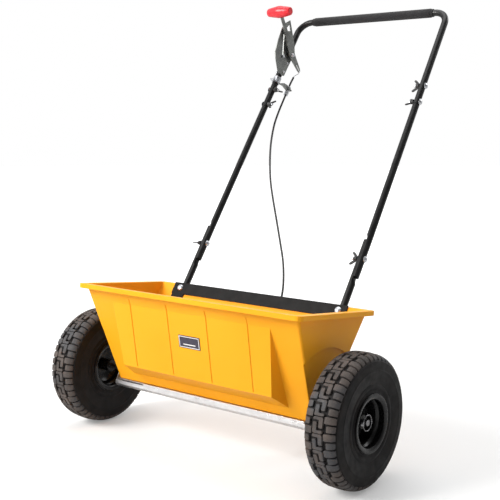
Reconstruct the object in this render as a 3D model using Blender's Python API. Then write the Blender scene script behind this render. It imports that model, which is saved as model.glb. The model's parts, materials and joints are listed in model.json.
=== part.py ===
"""Drop spreader: a moulded hopper on two pneumatic wheels, with a metering shutter under its
floor, a folding tube handle, and a hand lever that works the shutter through a cable.

The machine stands on its two wheels and one rear stand, so the hopper and the handle lean back
by LEAN about the axle. Everything on the hopper is laid out in the hopper's own level frame,
whose origin is on the axle, and hangs from the empty leaned_frame. Tubes and what is on them are
laid out along the tubes, with +Z up the tube and +Y to its rear, and hang from tube_frame and
handle_frame, which lean by a further TUBE_LEAN. All sizes are in metres.
"""

import math

import bmesh
import bpy
from mathutils import Matrix, Vector

# Whole machine
AXLE_Y = -0.2466  # puts the origin under the middle of the machine
WHEEL_RADIUS = 0.134
WHEEL_X = 0.355
LEAN = math.radians(6.6)
GAP = 0.0003  # between pieces that touch
SHEET = 0.002  # pressed steel
SEAM = 0.000004  # corners that a cut leaves this close are one

# Hopper: each wall is a plane, given by its place at axle height and its run per metre of height
WALL = 0.004
FLOOR_Z = -0.0175
FLOOR_THICKNESS = 0.0035
END_X, END_RUN = 0.2747, 0.0795
FRONT_Y, FRONT_RUN = -0.0295, -0.4937
REAR_Y = 0.0156
TUBE_LEAN = math.radians(28.56)  # the rear wall is parallel to the tubes
REAR_RUN = math.tan(TUBE_LEAN)
CORNER_RADIUS = 0.006
LIP_CORNER_RADIUS = 0.012
LIP_TOP, LIP_DEPTH, LIP_SHEET = 0.2015, 0.010, 0.0035
LIP_X, LIP_FRONT, LIP_REAR = 0.304, -0.140, 0.136
ARCH_RADIUS, ARCH_DEPTH = 0.131, 0.004

# Raised panel on the hopper's front
PANEL_TOP_X, PANEL_TOP_Z = 0.217, 0.1674
PANEL_EDGE = Vector((0.206, -0.0755, 0.0265))
PANEL_ROOT_Z = 0.0027
GROOVE_X = (-0.162, -0.054, 0.054, 0.162)
GROOVE_WIDTH, GROOVE_DEPTH, GROOVE_TOP_Z = 0.004, 0.0012, 0.181

# Metering: holes in the hopper floor, in the shutter and in the channel below them
HOLE_COUNT, HOLE_PITCH = 13, 0.040
HOLE_LENGTH, HOLE_FRONT, HOLE_REAR = 0.016, -0.014, -0.001
STROKE = 0.020
SHUTTER_TOP, SHUTTER_SHEET = -0.0185, 0.0015
CHANNEL_END_X, CHANNEL_FRONT, CHANNEL_REAR = 0.2768, -0.0283, 0.0165
CHANNEL_TOP, CHANNEL_BOTTOM, CHANNEL_SHEET = -0.0226, -0.0364, 0.0012

# Axle and wheels
AXLE_RADIUS, AXLE_HALF = 0.006, 0.383
LYNCH_X, HUB_END = 0.3778, 0.0170
HUB_RADIUS = 0.014
DRIVE_PIN_X = 0.330
VALVE_RADIUS, VALVE_OFFSET = 0.0032, 0.010

# Rear stand
STAND_X, STAND_HALF_WIDTH, STAND_SHEET = 0.200, 0.0175, 0.004
STAND_BOLT_SPREAD, STAND_BOLT_T = 0.009, -0.118
STAND_ANKLE_Y, STAND_TOE_Y = 0.176, 0.214

# Crank that turns the cable's pull into the shutter's slide
CRANK_Z, CRANK_Y, CRANK_SHEET = 0.025, 0.0472, 0.003
CRANK_SWING = math.radians(16.1)  # to each side of upright
FORK_RADIUS, CABLE_ARM = 0.036, 0.060

# Tubes: the tube frame's origin is on the tubes' axis plane, level with the hopper lip
TUBE_ORIGIN = Vector((0, 0.1322, 0.1965))
TUBE_RADIUS, TUBE_WALL = 0.00795, 0.0012
TUBE_SIDES = 14
TUBE_X = 0.2242
LOWER_START, LOWER_END = -0.098, 0.166
FOLD_T = 0.120
MID_START, MID_END, SPIGOT_END = 0.0755, 0.527, 0.600
LAP_SHIFT = 0.003  # the mid tube's axis is this far to +X of the lower tube's
LAP_REACH = 0.048
TAPER = 0.0125  # each leg's run towards the middle per metre up
UPPER_START, BAR_T, BEND_RADIUS = 0.529, 0.803, 0.036
UPPER_BOLTS = (0.5365, 0.582)
GRIP_HALF, GRIP_RADIUS = 0.177, 0.011
BOLT_RADIUS = 0.003
PLATE_BOLTS = (-0.0109, -0.084)
NUT_TURNS = {  # degrees round each bolt, from the wings lying fore and aft
    "pivot_left": 28,
    "pivot_right": 90,
    "lower_left": 110,
    "upper_left": 165,
    "lower_right": 60,
    "upper_right": 95,
}

# Control on the left leg: places are (up the tube, forward of the tube)
CONTROL_X = -0.2042
LEVER_PIVOT = (0.693, 0.002)
QUADRANT_BOLTS = (0.640, 0.668)
QUADRANT_THICKNESS = 0.0020
SLOT_ENDS, SLOT_HALF = ((0.6705, 0.0270), (0.7195, 0.0548)), 0.0022
LEVER_THICKNESS = 0.0025
LEVER_X = CONTROL_X + 0.0050  # the lever's near face, held off the quadrant by its bolt
STOP_HEAD = 0.0040
TAIL_TIP = (0.6792, -0.0471)
CABLE_STOP = (-0.2034, 0.6150, -0.0408)  # x, up the tube, forward of it
LEVER_TIP = (0.7535, 0.1037)
STEM_FOOT = 0.065  # from the pivot; each edge of the stem is given at its foot and at its end
STEM_FRONT, STEM_REAR = (0.0065, 0.0088), (-0.0060, -0.0020)
KNOB_LENGTH, KNOB_RADIUS, KNOB_SHIFT = 0.071, 0.0155, 0.0055

# Cable: sizes, the foot of the sheath, and the sheath's route
CABLE_RADIUS, WIRE_RADIUS = 0.0025, 0.0009
CABLE_X, CABLE_U, STOP_T = 0.058, -0.0076, -0.133
SHEATH_ROUTE = [  # (x, up the tubes, forward of them)
    (-0.2034, 0.6550, -0.0428),
    (-0.2034, 0.6350, -0.0410),
    (-0.2034, 0.6150, -0.0408),
    (-0.2034, 0.5950, -0.0408),
    (-0.2034, 0.5700, -0.0410),
    (-0.2036, 0.5450, -0.0415),
    (-0.2030, 0.5080, -0.0440),
    (-0.1945, 0.4680, -0.0443),
    (-0.1807, 0.4293, -0.0416),
    (-0.1610, 0.3840, -0.0388),
    (-0.1330, 0.3297, -0.0347),
    (-0.1041, 0.2823, -0.0315),
    (-0.0595, 0.2141, -0.0268),
    (-0.0170, 0.1489, -0.0223),
    (0.0095, 0.1070, -0.0195),
    (0.0306, 0.0658, -0.0170),
    (0.0460, 0.0252, -0.0150),
    (0.0530, -0.0150, -0.0135),
    (0.0568, -0.0600, -0.0110),
    (0.0580, -0.1000, -0.0085),
    (0.0580, -0.1324, -0.0076),
]

FINISHES = {  # colour, roughness, metallic
    "yellow_plastic": ((0.93, 0.46, 0.02), 0.42, 0.0),
    "black_paint": ((0.012, 0.012, 0.013), 0.38, 0.0),
    "zinc_steel": ((0.62, 0.63, 0.65), 0.34, 1.0),
    "grey_steel": ((0.20, 0.21, 0.20), 0.45, 1.0),
    "tyre_rubber": ((0.035, 0.032, 0.030), 0.80, 0.0),
    "rim_paint": ((0.008, 0.008, 0.009), 0.25, 0.0),
    "foam": ((0.020, 0.020, 0.022), 0.85, 0.0),
    "red_plastic": ((0.60, 0.015, 0.020), 0.40, 0.0),
    "label": ((0.030, 0.022, 0.060), 0.40, 0.0),
    "black_plastic": ((0.015, 0.015, 0.016), 0.55, 0.0),
}


def clear_scene():
    for obj in list(bpy.data.objects):
        bpy.data.objects.remove(obj)


def finish(slot):
    """The material of that name, made on first use."""
    found = bpy.data.materials.get(slot)
    if found:
        return found
    colour, roughness, metallic = FINISHES[slot]
    made = bpy.data.materials.new(slot)
    made.use_nodes = True
    shader = made.node_tree.nodes["Principled BSDF"]
    shader.inputs["Base Color"].default_value = (*colour, 1)
    shader.inputs["Roughness"].default_value = roughness
    shader.inputs["Metallic"].default_value = metallic
    return made


def empty(name, parent=None, location=(0, 0, 0), lean=0.0):
    made = bpy.data.objects.new(name, None)
    bpy.context.scene.collection.objects.link(made)
    made.parent = parent
    made.location = location
    made.rotation_euler = (-lean, 0, 0)
    return made


def place(name, mesh, slot, parent=None, location=(0, 0, 0), rotation=(0, 0, 0)):
    made = bpy.data.objects.new(name, mesh)
    bpy.context.scene.collection.objects.link(made)
    made.parent = parent
    made.location = location
    made.rotation_euler = rotation
    mesh.materials.clear()
    mesh.materials.append(finish(slot))
    return made


# ---- shapes


def mesh_of(bm, smooth=False):
    """A closed mesh from a bmesh, with its faces pointing out."""
    bmesh.ops.remove_doubles(bm, verts=bm.verts, dist=1e-6)
    bmesh.ops.recalc_face_normals(bm, faces=bm.faces)
    mesh = bpy.data.meshes.new("shape")
    bm.to_mesh(mesh)
    bm.free()
    if smooth:
        mesh.shade_smooth()
        mesh.set_sharp_from_angle(angle=math.radians(35))
    return mesh


def skin(rings, capped=True, smooth=False):
    """Faces between rings of as many points each. Uncapped, the last ring joins the first."""
    bm = bmesh.new()
    rows = [[bm.verts.new(point) for point in ring] for ring in rings]
    pairs = list(zip(rows, rows[1:]))
    if not capped:
        pairs.append((rows[-1], rows[0]))
    count = len(rows[0])
    for low, high in pairs:
        for k in range(count):
            after = (k + 1) % count
            bm.faces.new((low[k], low[after], high[after], high[k]))
    if capped:
        bm.faces.new(rows[0])
        bm.faces.new(rows[-1])
    return mesh_of(bm, smooth)


def prism(outline, low, high, axis="X"):
    """An outline of (y, z), (x, z) or (x, y) points drawn out along X, Y or Z."""
    places = {
        "X": lambda p, q, d: (d, p, q),
        "Y": lambda p, q, d: (p, d, q),
        "Z": lambda p, q, d: (p, q, d),
    }
    return skin([[places[axis](p, q, depth) for p, q in outline] for depth in (low, high)])


def box(low, high):
    (x0, y0, z0), (x1, y1, z1) = low, high
    return prism([(y0, z0), (y1, z0), (y1, z1), (y0, z1)], x0, x1)


def hull(points):
    bm = bmesh.new()
    for point in points:
        bm.verts.new(point)
    bmesh.ops.convex_hull(bm, input=bm.verts)
    return mesh_of(bm)


def circle(radius, steps, centre=(0.0, 0.0)):
    turn = 2 * math.pi / steps
    return [
        (centre[0] + radius * math.cos(k * turn), centre[1] + radius * math.sin(k * turn))
        for k in range(steps)
    ]


def arc(centre, radius, start, end, steps):
    """Points on an arc, its angles in degrees."""
    angles = [math.radians(start + (end - start) * k / steps) for k in range(steps + 1)]
    return [(centre[0] + radius * math.cos(a), centre[1] + radius * math.sin(a)) for a in angles]


def turned(profile, steps, axis="X"):
    """A closed profile of (along, radius) points turned about the axis."""
    places = {
        "X": lambda along, p, q: (along, p, q),
        "Y": lambda along, p, q: (p, along, q),
        "Z": lambda along, p, q: (p, q, along),
    }
    rings = []
    for k in range(steps):
        angle = 2 * math.pi * k / steps
        across, up = math.cos(angle), math.sin(angle)
        rings.append([places[axis](a, r * across, r * up) for a, r in profile])
    bm = bmesh.new()
    rows = [[bm.verts.new(point) for point in ring] for ring in rings]
    for k in range(steps):
        near, far = rows[k], rows[(k + 1) % steps]
        for j in range(len(profile)):
            after = (j + 1) % len(profile)
            corners = [near[j], near[after], far[after], far[j]]
            on_axis = profile[j][1] == 0 and profile[after][1] == 0
            if not on_axis:
                bm.faces.new(corners)
    return mesh_of(bm, smooth=True)


def tube_rings(path, radius, steps, flats=None):
    """Rings of one radius, or one each, round a path in a plane of constant Y.

    flats gives, for each path point, the local X beyond which the ring is pressed flat.
    """
    rings = []
    last = len(path) - 1
    radii = radius if isinstance(radius, list) else [radius] * len(path)
    for k, point in enumerate(path):
        before, after = path[max(k - 1, 0)], path[min(k + 1, last)]
        ahead = (Vector(after) - Vector(before)).normalized()
        side = Vector((0, 1, 0)).cross(ahead)
        ring = []
        for j in range(steps):
            angle = 2 * math.pi * j / steps
            across, rearward = radii[k] * math.cos(angle), radii[k] * math.sin(angle)
            if flats and flats[k]:
                sign, limit = flats[k]
                across = sign * min(sign * across, limit)
            ring.append(Vector(point) + side * across + Vector((0, rearward, 0)))
        rings.append(ring)
    return rings


def pipe(outer, inner):
    """A hollow tube between outer and inner rings, open at both ends."""
    return skin(outer + inner[::-1], capped=False, smooth=True)


def combine(obj, operation, tool):
    """Joins, cuts or keeps what the object shares with a mesh in the object's own frame."""
    helper = bpy.data.objects.new("tool", tool)
    bpy.context.scene.collection.objects.link(helper)
    helper.parent = obj
    boolean = obj.modifiers.new("boolean", "BOOLEAN")
    boolean.operation = operation
    boolean.object = helper
    bpy.context.view_layer.update()
    depsgraph = bpy.context.evaluated_depsgraph_get()
    result = bpy.data.meshes.new_from_object(obj.evaluated_get(depsgraph))
    obj.modifiers.remove(boolean)
    bpy.data.objects.remove(helper)
    slot = obj.data.materials[0]
    clean = bmesh.new()
    clean.from_mesh(result)
    bmesh.ops.remove_doubles(clean, verts=clean.verts, dist=SEAM)
    bmesh.ops.dissolve_degenerate(clean, edges=clean.edges, dist=SEAM)
    clean.to_mesh(result)
    clean.free()
    obj.data = result
    result.materials.clear()
    result.materials.append(slot)
    return obj


def join(obj, tool):
    return combine(obj, "UNION", tool)


def cut(obj, tool):
    return combine(obj, "DIFFERENCE", tool)


def rod(radius, low, high, axis, across=(0.0, 0.0), steps=12):
    """A round bar or drill along an axis, through a point of the plane across it."""
    return prism(circle(radius, steps, across), low, high, axis)


# ---- hopper


def front_wall(z):
    return FRONT_Y + FRONT_RUN * z


def rear_wall(z):
    return REAR_Y + REAR_RUN * z


def end_wall(z):
    return END_X + END_RUN * z


def rounded(x, front, rear, radius, z, steps=3):
    """A level rectangle with round corners."""
    ring = []
    for side, edge, start in ((1, rear, 0), (-1, rear, 90), (-1, front, 180), (1, front, 270)):
        inward = 1 if edge == front else -1
        centre = (side * (x - radius), edge + inward * radius)
        ring += [(px, py, z) for px, py in arc(centre, radius, start, start + 90, steps)]
    return ring


def hopper_section(z, inset):
    front = front_wall(z) + inset * math.hypot(1, FRONT_RUN)
    rear = rear_wall(z) - inset * math.hypot(1, REAR_RUN)
    radius = min(CORNER_RADIUS - 0.5 * inset, 0.45 * (rear - front))
    return rounded(end_wall(z) - inset, front, rear, radius, z)


def arch(side, depth, radius):
    """What the round wheel arch takes from the hopper's end, to a depth below the wall."""
    outline = circle(radius, 48)
    inner = [(side * (end_wall(z) - depth), y, z) for y, z in outline]
    outer = [(side * (LIP_X + 0.02), y, z) for y, z in outline]
    return skin([inner, outer])


def panel(inset):
    """The raised front panel, or the hollow behind it when inset by the wall."""
    root = inset * 1.1
    points = []
    for side in (-1, 1):
        top_x = side * (PANEL_TOP_X - inset)
        edge_x = side * (PANEL_EDGE.x - inset)
        edge = (edge_x, PANEL_EDGE.y + 0.85 * inset, PANEL_EDGE.z + 0.65 * inset)
        for depth in (root, root + 0.010):
            points.append((top_x, front_wall(PANEL_TOP_Z) + depth, PANEL_TOP_Z))
            points.append((top_x, front_wall(PANEL_ROOT_Z) + depth, PANEL_ROOT_Z + 0.6 * inset))
        points.append(edge)
    return hull(points)


def panel_face(z):
    top_y = front_wall(PANEL_TOP_Z)
    run = (top_y - PANEL_EDGE.y) / (PANEL_TOP_Z - PANEL_EDGE.z)
    return PANEL_EDGE.y + run * (z - PANEL_EDGE.z)


def front_face(z):
    """The panel's face, and above the panel the wall itself."""
    return panel_face(z) if z < PANEL_TOP_Z else front_wall(z)


def metering_holes(obj, shift, grow, low, high):
    """Cuts the row of discharge holes, shifted along X and grown all round."""
    for k in range(HOLE_COUNT):
        middle = (k - (HOLE_COUNT - 1) / 2) * HOLE_PITCH + shift
        half = HOLE_LENGTH / 2 + grow
        tool = box(
            (middle - half, HOLE_FRONT - grow, low),
            (middle + half, HOLE_REAR + grow, high),
        )
        cut(obj, tool)


def make_hopper(frame):
    above = LIP_TOP + 0.010
    under = LIP_TOP - LIP_DEPTH
    lip_ring = (LIP_X, LIP_FRONT, LIP_REAR, LIP_CORNER_RADIUS)
    inner_ring = (
        LIP_X - LIP_SHEET,
        LIP_FRONT + LIP_SHEET,
        LIP_REAR - LIP_SHEET,
        LIP_CORNER_RADIUS - LIP_SHEET,
    )
    lip = skin([rounded(*lip_ring, under), rounded(*lip_ring, LIP_TOP)])
    hopper = place("hopper", lip, "yellow_plastic", frame)
    below_lip = LIP_TOP - LIP_SHEET
    cut(hopper, skin([rounded(*inner_ring, under - 0.01), rounded(*inner_ring, below_lip)]))
    join(hopper, skin([hopper_section(FLOOR_Z, 0), hopper_section(LIP_TOP - 0.0005, 0)]))
    join(hopper, panel(0))
    hollow = skin([hopper_section(FLOOR_Z + FLOOR_THICKNESS, WALL), hopper_section(above, WALL)])
    cavity = place("cavity", hollow, "yellow_plastic", frame)
    join(cavity, panel(WALL))
    for side in (-1, 1):
        cut(hopper, arch(side, ARCH_DEPTH, ARCH_RADIUS))
        cut(cavity, arch(side, ARCH_DEPTH + WALL, ARCH_RADIUS + WALL))
    cut(hopper, cavity.data)
    bpy.data.objects.remove(cavity)
    levels = (PANEL_EDGE.z + 0.004, PANEL_TOP_Z, GROOVE_TOP_Z)
    outline = [(front_face(z) + GROOVE_DEPTH, z) for z in levels]
    outline += [(front_face(z) - 0.010, z) for z in reversed(levels)]
    for x in GROOVE_X:
        cut(hopper, prism(outline, x - GROOVE_WIDTH / 2, x + GROOVE_WIDTH / 2))
    for side in (-1, 1):
        notch_low, notch_high = LIP_TOP - 0.020, LIP_TOP + 0.010
        outline = [
            (rear_wall(notch_low) + GAP, notch_low),
            (LIP_REAR + 0.01, notch_low),
            (LIP_REAR + 0.01, notch_high),
            (rear_wall(notch_high) + GAP, notch_high),
        ]
        x = side * TUBE_X
        cut(hopper, prism(outline, x - 0.00975, x + 0.00975))
        cut(hopper, rod(0.0093, 0.25, 0.30, "X") if side > 0 else rod(0.0093, -0.30, -0.25, "X"))
        for t in PLATE_BOLTS:
            cut(hopper, across_wall(x, t, BOLT_RADIUS + GAP, 0.004, 0.020))
    for x in STAND_X - STAND_BOLT_SPREAD, STAND_X + STAND_BOLT_SPREAD:
        cut(hopper, across_wall(x, STAND_BOLT_T, BOLT_RADIUS + GAP, 0.004, 0.020))
    metering_holes(hopper, 0, 0, FLOOR_Z - 0.01, FLOOR_Z + 0.010)
    return hopper


def tube_point(x, t, u):
    """A point up the tube and forward of it, in the hopper's frame."""
    sine, cosine = math.sin(TUBE_LEAN), math.cos(TUBE_LEAN)
    return TUBE_ORIGIN + Vector((x, t * sine - u * cosine, t * cosine + u * sine))


def across_wall(x, t, radius, low, high):
    """A round tool square to the rear wall, from low to high forward of the tubes' axis."""
    rings = []
    for u in (low, high):
        rings.append([tube_point(x + p, t + q, u) for p, q in circle(radius, 12)])
    return skin(rings)


def make_name_plate(frame):
    """A plain plate on the raised panel, parallel to it."""
    middle_z, half_width, half_height = 0.1076, 0.029, 0.01365
    run = (panel_face(PANEL_TOP_Z) - panel_face(PANEL_EDGE.z)) / (PANEL_TOP_Z - PANEL_EDGE.z)
    tilt = math.atan(-run)
    plate = box((-half_width, -0.0008 - GAP, -half_height), (half_width, -GAP, half_height))
    centre = (0.001, panel_face(middle_z), middle_z)
    return place("name_plate", plate, "label", frame, centre, (tilt, 0, 0))


def make_channel(frame):
    """The zinc-plated channel under the hopper, its ends turned up outside the end walls."""
    bevel = 0.006

    def outline(inset):
        low = CHANNEL_BOTTOM + inset
        front, rear = CHANNEL_FRONT + inset, CHANNEL_REAR - inset
        return [
            (front + bevel, low),
            (rear - bevel, low),
            (rear, low + bevel),
            (rear, CHANNEL_TOP + 5 * inset),
            (front, CHANNEL_TOP + 5 * inset),
            (front, low + bevel),
        ]

    solid = prism(outline(0), -CHANNEL_END_X, CHANNEL_END_X)
    channel = place("bottom_channel", solid, "zinc_steel", frame)
    cut(channel, prism(outline(CHANNEL_SHEET), -CHANNEL_END_X - 0.01, CHANNEL_END_X + 0.01))
    for side in (-1, 1):
        inner, outer = side * (CHANNEL_END_X - 0.0002), side * (CHANNEL_END_X + CHANNEL_SHEET)
        tab = [
            (CHANNEL_FRONT + bevel, CHANNEL_BOTTOM),
            (CHANNEL_REAR - bevel, CHANNEL_BOTTOM),
            (CHANNEL_REAR, CHANNEL_BOTTOM + bevel),
            (0.010, -0.008),
            (-0.020, -0.006),
            (CHANNEL_FRONT, CHANNEL_BOTTOM + bevel),
        ]
        join(channel, prism(tab, min(inner, outer), max(inner, outer)))
    metering_holes(channel, 0, 0.001, CHANNEL_BOTTOM - 0.005, CHANNEL_BOTTOM + 0.005)
    return channel


def make_shutter(frame):
    """The sliding plate, its front edge turned down and a tongue with an upright finger."""
    low = SHUTTER_TOP - SHUTTER_SHEET
    left, right, lip_left = -0.272, 0.2545, -0.190
    rear = 0.0095
    shutter = place(
        "shutter_plate",
        box((left, CHANNEL_FRONT + 0.003, low), (right, rear, SHUTTER_TOP)),
        "zinc_steel",
        frame,
    )
    edge = [
        (CHANNEL_FRONT, SHUTTER_TOP),
        (CHANNEL_FRONT, CHANNEL_TOP + GAP),
        (CHANNEL_FRONT + SHUTTER_SHEET, CHANNEL_TOP + GAP),
        (CHANNEL_FRONT + SHUTTER_SHEET, low),
        (CHANNEL_FRONT + 0.005, low),
        (CHANNEL_FRONT + 0.005, SHUTTER_TOP),
    ]
    join(shutter, prism(edge, lip_left, right))
    finger_x = -STROKE / 2
    tongue_end = CRANK_Y + CRANK_SHEET
    join(shutter, box((finger_x - 0.006, rear - 0.003, low), (finger_x + 0.006, tongue_end, SHUTTER_TOP)))
    finger_top = CRANK_Z - FORK_RADIUS + 0.0035
    finger = box((finger_x - 0.0025, CRANK_Y, low), (finger_x + 0.0025, tongue_end, finger_top))
    join(shutter, finger)
    metering_holes(shutter, -STROKE, 0, low - 0.005, SHUTTER_TOP + 0.005)
    return shutter


def make_crank(frame):
    """A bell crank: the cable lifts one arm, and the fork on the other slides the shutter."""
    outline = [
        (-0.008, 0.008),
        (0.055, 0.006),
        (0.0645, 0.003),
        (0.0645, -0.003),
        (0.055, -0.006),
        (0.011, -0.010),
        (0.008, -0.040),
        (0.0038, -0.040),
        (0.0038, -0.031),
        (-0.0038, -0.031),
        (-0.0038, -0.040),
        (-0.008, -0.040),
    ]
    crank = place(
        "bell_crank",
        prism(outline, 0, CRANK_SHEET, "Y"),
        "zinc_steel",
        frame,
        (0, CRANK_Y, CRANK_Z),
        (0, CRANK_SWING, 0),
    )
    cut(crank, rod(BOLT_RADIUS + GAP, -0.01, 0.01, "Y"))
    cut(crank, rod(0.0012, -0.01, 0.01, "Y", (CABLE_ARM, 0), 8))
    return crank


def make_crank_bracket(frame):
    """Holds the crank's bolt clear of the sloping rear wall, and the end of the cable's sheath."""
    leg_front = 0.0445
    leg_rear = leg_front + SHEET
    offset = REAR_Y + 1.2 * GAP
    slope_thickness = SHEET / math.cos(TUBE_LEAN)
    foot_top, foot_low = 0.090, 0.056

    def on_wall(z, out):
        return (offset + REAR_RUN * z + out * slope_thickness, z)

    leg = [
        (leg_front, 0.012),
        (leg_rear, 0.012),
        (leg_rear, (leg_rear - offset - slope_thickness) / REAR_RUN),
        on_wall(foot_top, 1),
        on_wall(foot_top, 0),
        (leg_front, (leg_front - offset) / REAR_RUN),
    ]
    bracket = place("crank_bracket", prism(leg, -0.014, 0.014), "zinc_steel", frame)
    foot = [on_wall(foot_low, 1), on_wall(foot_top, 1), on_wall(foot_top, 0), on_wall(foot_low, 0)]
    join(bracket, prism(foot, -0.012, 0.070))
    tab = []
    for t, u in ((STOP_T - SHEET, 0.0075), (STOP_T, 0.0075), (STOP_T, -0.0135), (STOP_T - SHEET, -0.0135)):
        point = tube_point(0, t, u)
        tab.append((point.y, point.z))
    join(bracket, prism(tab, CABLE_X - 0.009, CABLE_X + 0.009))
    cut(bracket, rod(BOLT_RADIUS + GAP, 0.03, 0.06, "Y", (0, CRANK_Z)))
    wire_hole = []
    for t in (STOP_T - 0.006, STOP_T + 0.004):
        wire_hole.append([tube_point(CABLE_X + p, t, CABLE_U + q) for p, q in circle(0.0014, 8)])
    cut(bracket, skin(wire_hole))
    bolt = turned(
        [
            (leg_front - GAP, BOLT_RADIUS),
            (leg_front - GAP, 0.005),
            (leg_front - 0.005, 0.005),
            (leg_front - 0.005, BOLT_RADIUS),
            (leg_front - 0.007, BOLT_RADIUS),
            (leg_front - 0.007, 0),
            (CRANK_Y + CRANK_SHEET + 0.004, 0),
            (CRANK_Y + CRANK_SHEET + 0.003, 0.004),
            (CRANK_Y + CRANK_SHEET + GAP, 0.0055),
            (CRANK_Y + CRANK_SHEET + GAP, BOLT_RADIUS),
        ],
        12,
        "Y",
    )
    place("crank_bolt", bolt, "zinc_steel", frame, (0, 0, CRANK_Z))
    return bracket


# ---- rear stand

def strip_outline(points, thickness):
    """The outline of a bent strip, mitred, from its middle line in a plane."""
    sides = ([], [])
    for k, point in enumerate(points):
        here = Vector(point)
        ahead = (Vector(points[min(k + 1, len(points) - 1)]) - here).normalized()
        behind = (here - Vector(points[max(k - 1, 0)])).normalized()
        if k == 0:
            behind = ahead
        if k == len(points) - 1:
            ahead = behind
        middle = (ahead + behind).normalized()
        reach = thickness / 2 / middle.dot(ahead)
        normal = Vector((-middle.y, middle.x))
        sides[0].append(tuple(here + normal * reach))
        sides[1].append(tuple(here - normal * reach))
    return sides[0] + sides[1][::-1]


def level(point):
    """A point of the hopper's frame as (y, z) in the axle's upright frame, z from the ground."""
    y = point.y * math.cos(LEAN) + point.z * math.sin(LEAN)
    z = -point.y * math.sin(LEAN) + point.z * math.cos(LEAN)
    return (y, z + WHEEL_RADIUS)


def make_stand(ground):
    """A bent flat bar from the hopper's rear wall to a flat foot on the ground."""
    off_wall = WALL_U - GAP - STAND_SHEET / 2
    top = level(tube_point(0, -0.100, off_wall))
    knee = level(tube_point(0, -0.150, off_wall))
    foot_z = STAND_SHEET / 2
    line = [top, knee, (STAND_ANKLE_Y, foot_z), (STAND_TOE_Y, foot_z)]
    outline = strip_outline(line, STAND_SHEET)
    low, high = STAND_X - STAND_HALF_WIDTH, STAND_X + STAND_HALF_WIDTH
    stand = place("rear_stand", prism(outline, low, high), "black_paint", ground)
    for x in STAND_X - STAND_BOLT_SPREAD, STAND_X + STAND_BOLT_SPREAD:
        rings = []
        for u in (WALL_U - 0.015, WALL_U + 0.002):
            ring = [tube_point(x + p, STAND_BOLT_T + q, u) for p, q in circle(BOLT_RADIUS + GAP, 12)]
            rings.append([(point.x, *level(point)) for point in ring])
        cut(stand, skin(rings))
    return stand


# ---- fasteners


def round_head(head_radius, head_height, length, tail=None):
    """A round-headed bolt along -X from under its head at the origin.

    tail is (start, end, radius) of a nut that the drawing keeps in one piece with the bolt.
    """
    profile = [
        (head_height, 0),
        (0.85 * head_height, 0.45 * head_radius),
        (0.5 * head_height, 0.82 * head_radius),
        (0, head_radius),
        (0, BOLT_RADIUS),
    ]
    if tail:
        start, end, radius = tail
        profile += [(-start, BOLT_RADIUS), (-start, radius), (-end, radius), (-end, BOLT_RADIUS)]
    profile += [(-length, BOLT_RADIUS), (-length, 0)]
    return turned(profile, 12)


def wing_nut_mesh():
    """A wing nut whose base is at the origin and whose axis points to -X."""
    height, base, crown = 0.0085, 0.0062, 0.0048
    bore = BOLT_RADIUS + GAP
    hub = turned([(0, bore), (0, base), (-height, crown), (-height, bore)], 16)
    nut = place("nut_being_made", hub, "zinc_steel")
    wings = [
        (-0.0012, 0.0055),
        (-0.0035, 0.0085),
        (-0.0110, 0.0150),
        (-0.0150, 0.0155),
        (-0.0165, 0.0130),
        (-0.0115, 0.0075),
        (-0.0070, 0.0040),
    ]
    for side in (-1, 1):
        outline = [(side * radius, along) for along, radius in wings]
        wing = prism([(along, lateral) for lateral, along in outline], -0.0012, 0.0012, "Z")
        join(nut, wing)
    mesh = nut.data
    bpy.data.objects.remove(nut)
    mesh.shade_smooth()
    mesh.set_sharp_from_angle(angle=math.radians(35))
    return mesh


# ---- wheels and axle


def make_tyre(frame, name, x):
    """A tyre, open towards its rim, so its air space isn't sealed."""
    outer = [
        (0.0150, 0.1335),
        (0.0240, 0.1317),
        (0.0315, 0.1275),
        (0.0358, 0.1200),
        (0.0380, 0.1040),
        (0.0372, 0.0910),
        (0.0338, 0.0715),
        (0.0345, 0.0600),
        (0.0345, 0.0505),
    ]
    inner = [
        (0.0235, 0.0503),
        (0.0235, 0.0580),
        (0.0265, 0.0700),
        (0.0300, 0.0900),
        (0.0300, 0.1070),
        (0.0235, 0.1205),
    ]
    right = [(0, WHEEL_RADIUS), *outer, *inner, (0, 0.1240)]
    left = [(-along, radius) for along, radius in (outer + inner)][::-1]
    return place(name, turned(right + left, 36), "tyre_rubber", frame, (x, 0, 0))


def make_rim(frame, name, x):
    """A pressed rim with a well, a dished disc and a hub tube, its dish facing away from x = 0."""
    outward = 1 if x > 0 else -1
    half = [
        (0.0390, 0.0585),
        (0.0364, 0.0585),
        (0.0350, 0.0500),
        (0.0235, 0.0498),
        (0.0175, 0.0448),
    ]
    tyre_side = half + [(-along, radius) for along, radius in half[::-1]]
    bore = AXLE_RADIUS + GAP
    air_side = [
        (-0.0375, 0.0475),
        (-0.0245, 0.0473),
        (-0.0190, 0.0422),
        (-0.0075, 0.0422),
        (0.0000, 0.0220),
        (0.0000, HUB_RADIUS),
        (-0.0330, HUB_RADIUS),
        (-0.0330, bore),
        (HUB_END, bore),
        (HUB_END, HUB_RADIUS),
        (0.0030, HUB_RADIUS),
        (0.0030, 0.0230),
        (-0.0045, 0.0422),
        (0.0190, 0.0422),
        (0.0245, 0.0473),
        (0.0375, 0.0475),
    ]
    profile = [(outward * along, radius) for along, radius in tyre_side + air_side]
    rim = place(name, turned(profile, 24), "rim_paint", frame, (x, 0, 0))
    cut(rim, rod(VALVE_RADIUS + GAP, 0.035, 0.050, "Z", (outward * VALVE_OFFSET, 0)))
    return rim


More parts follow.
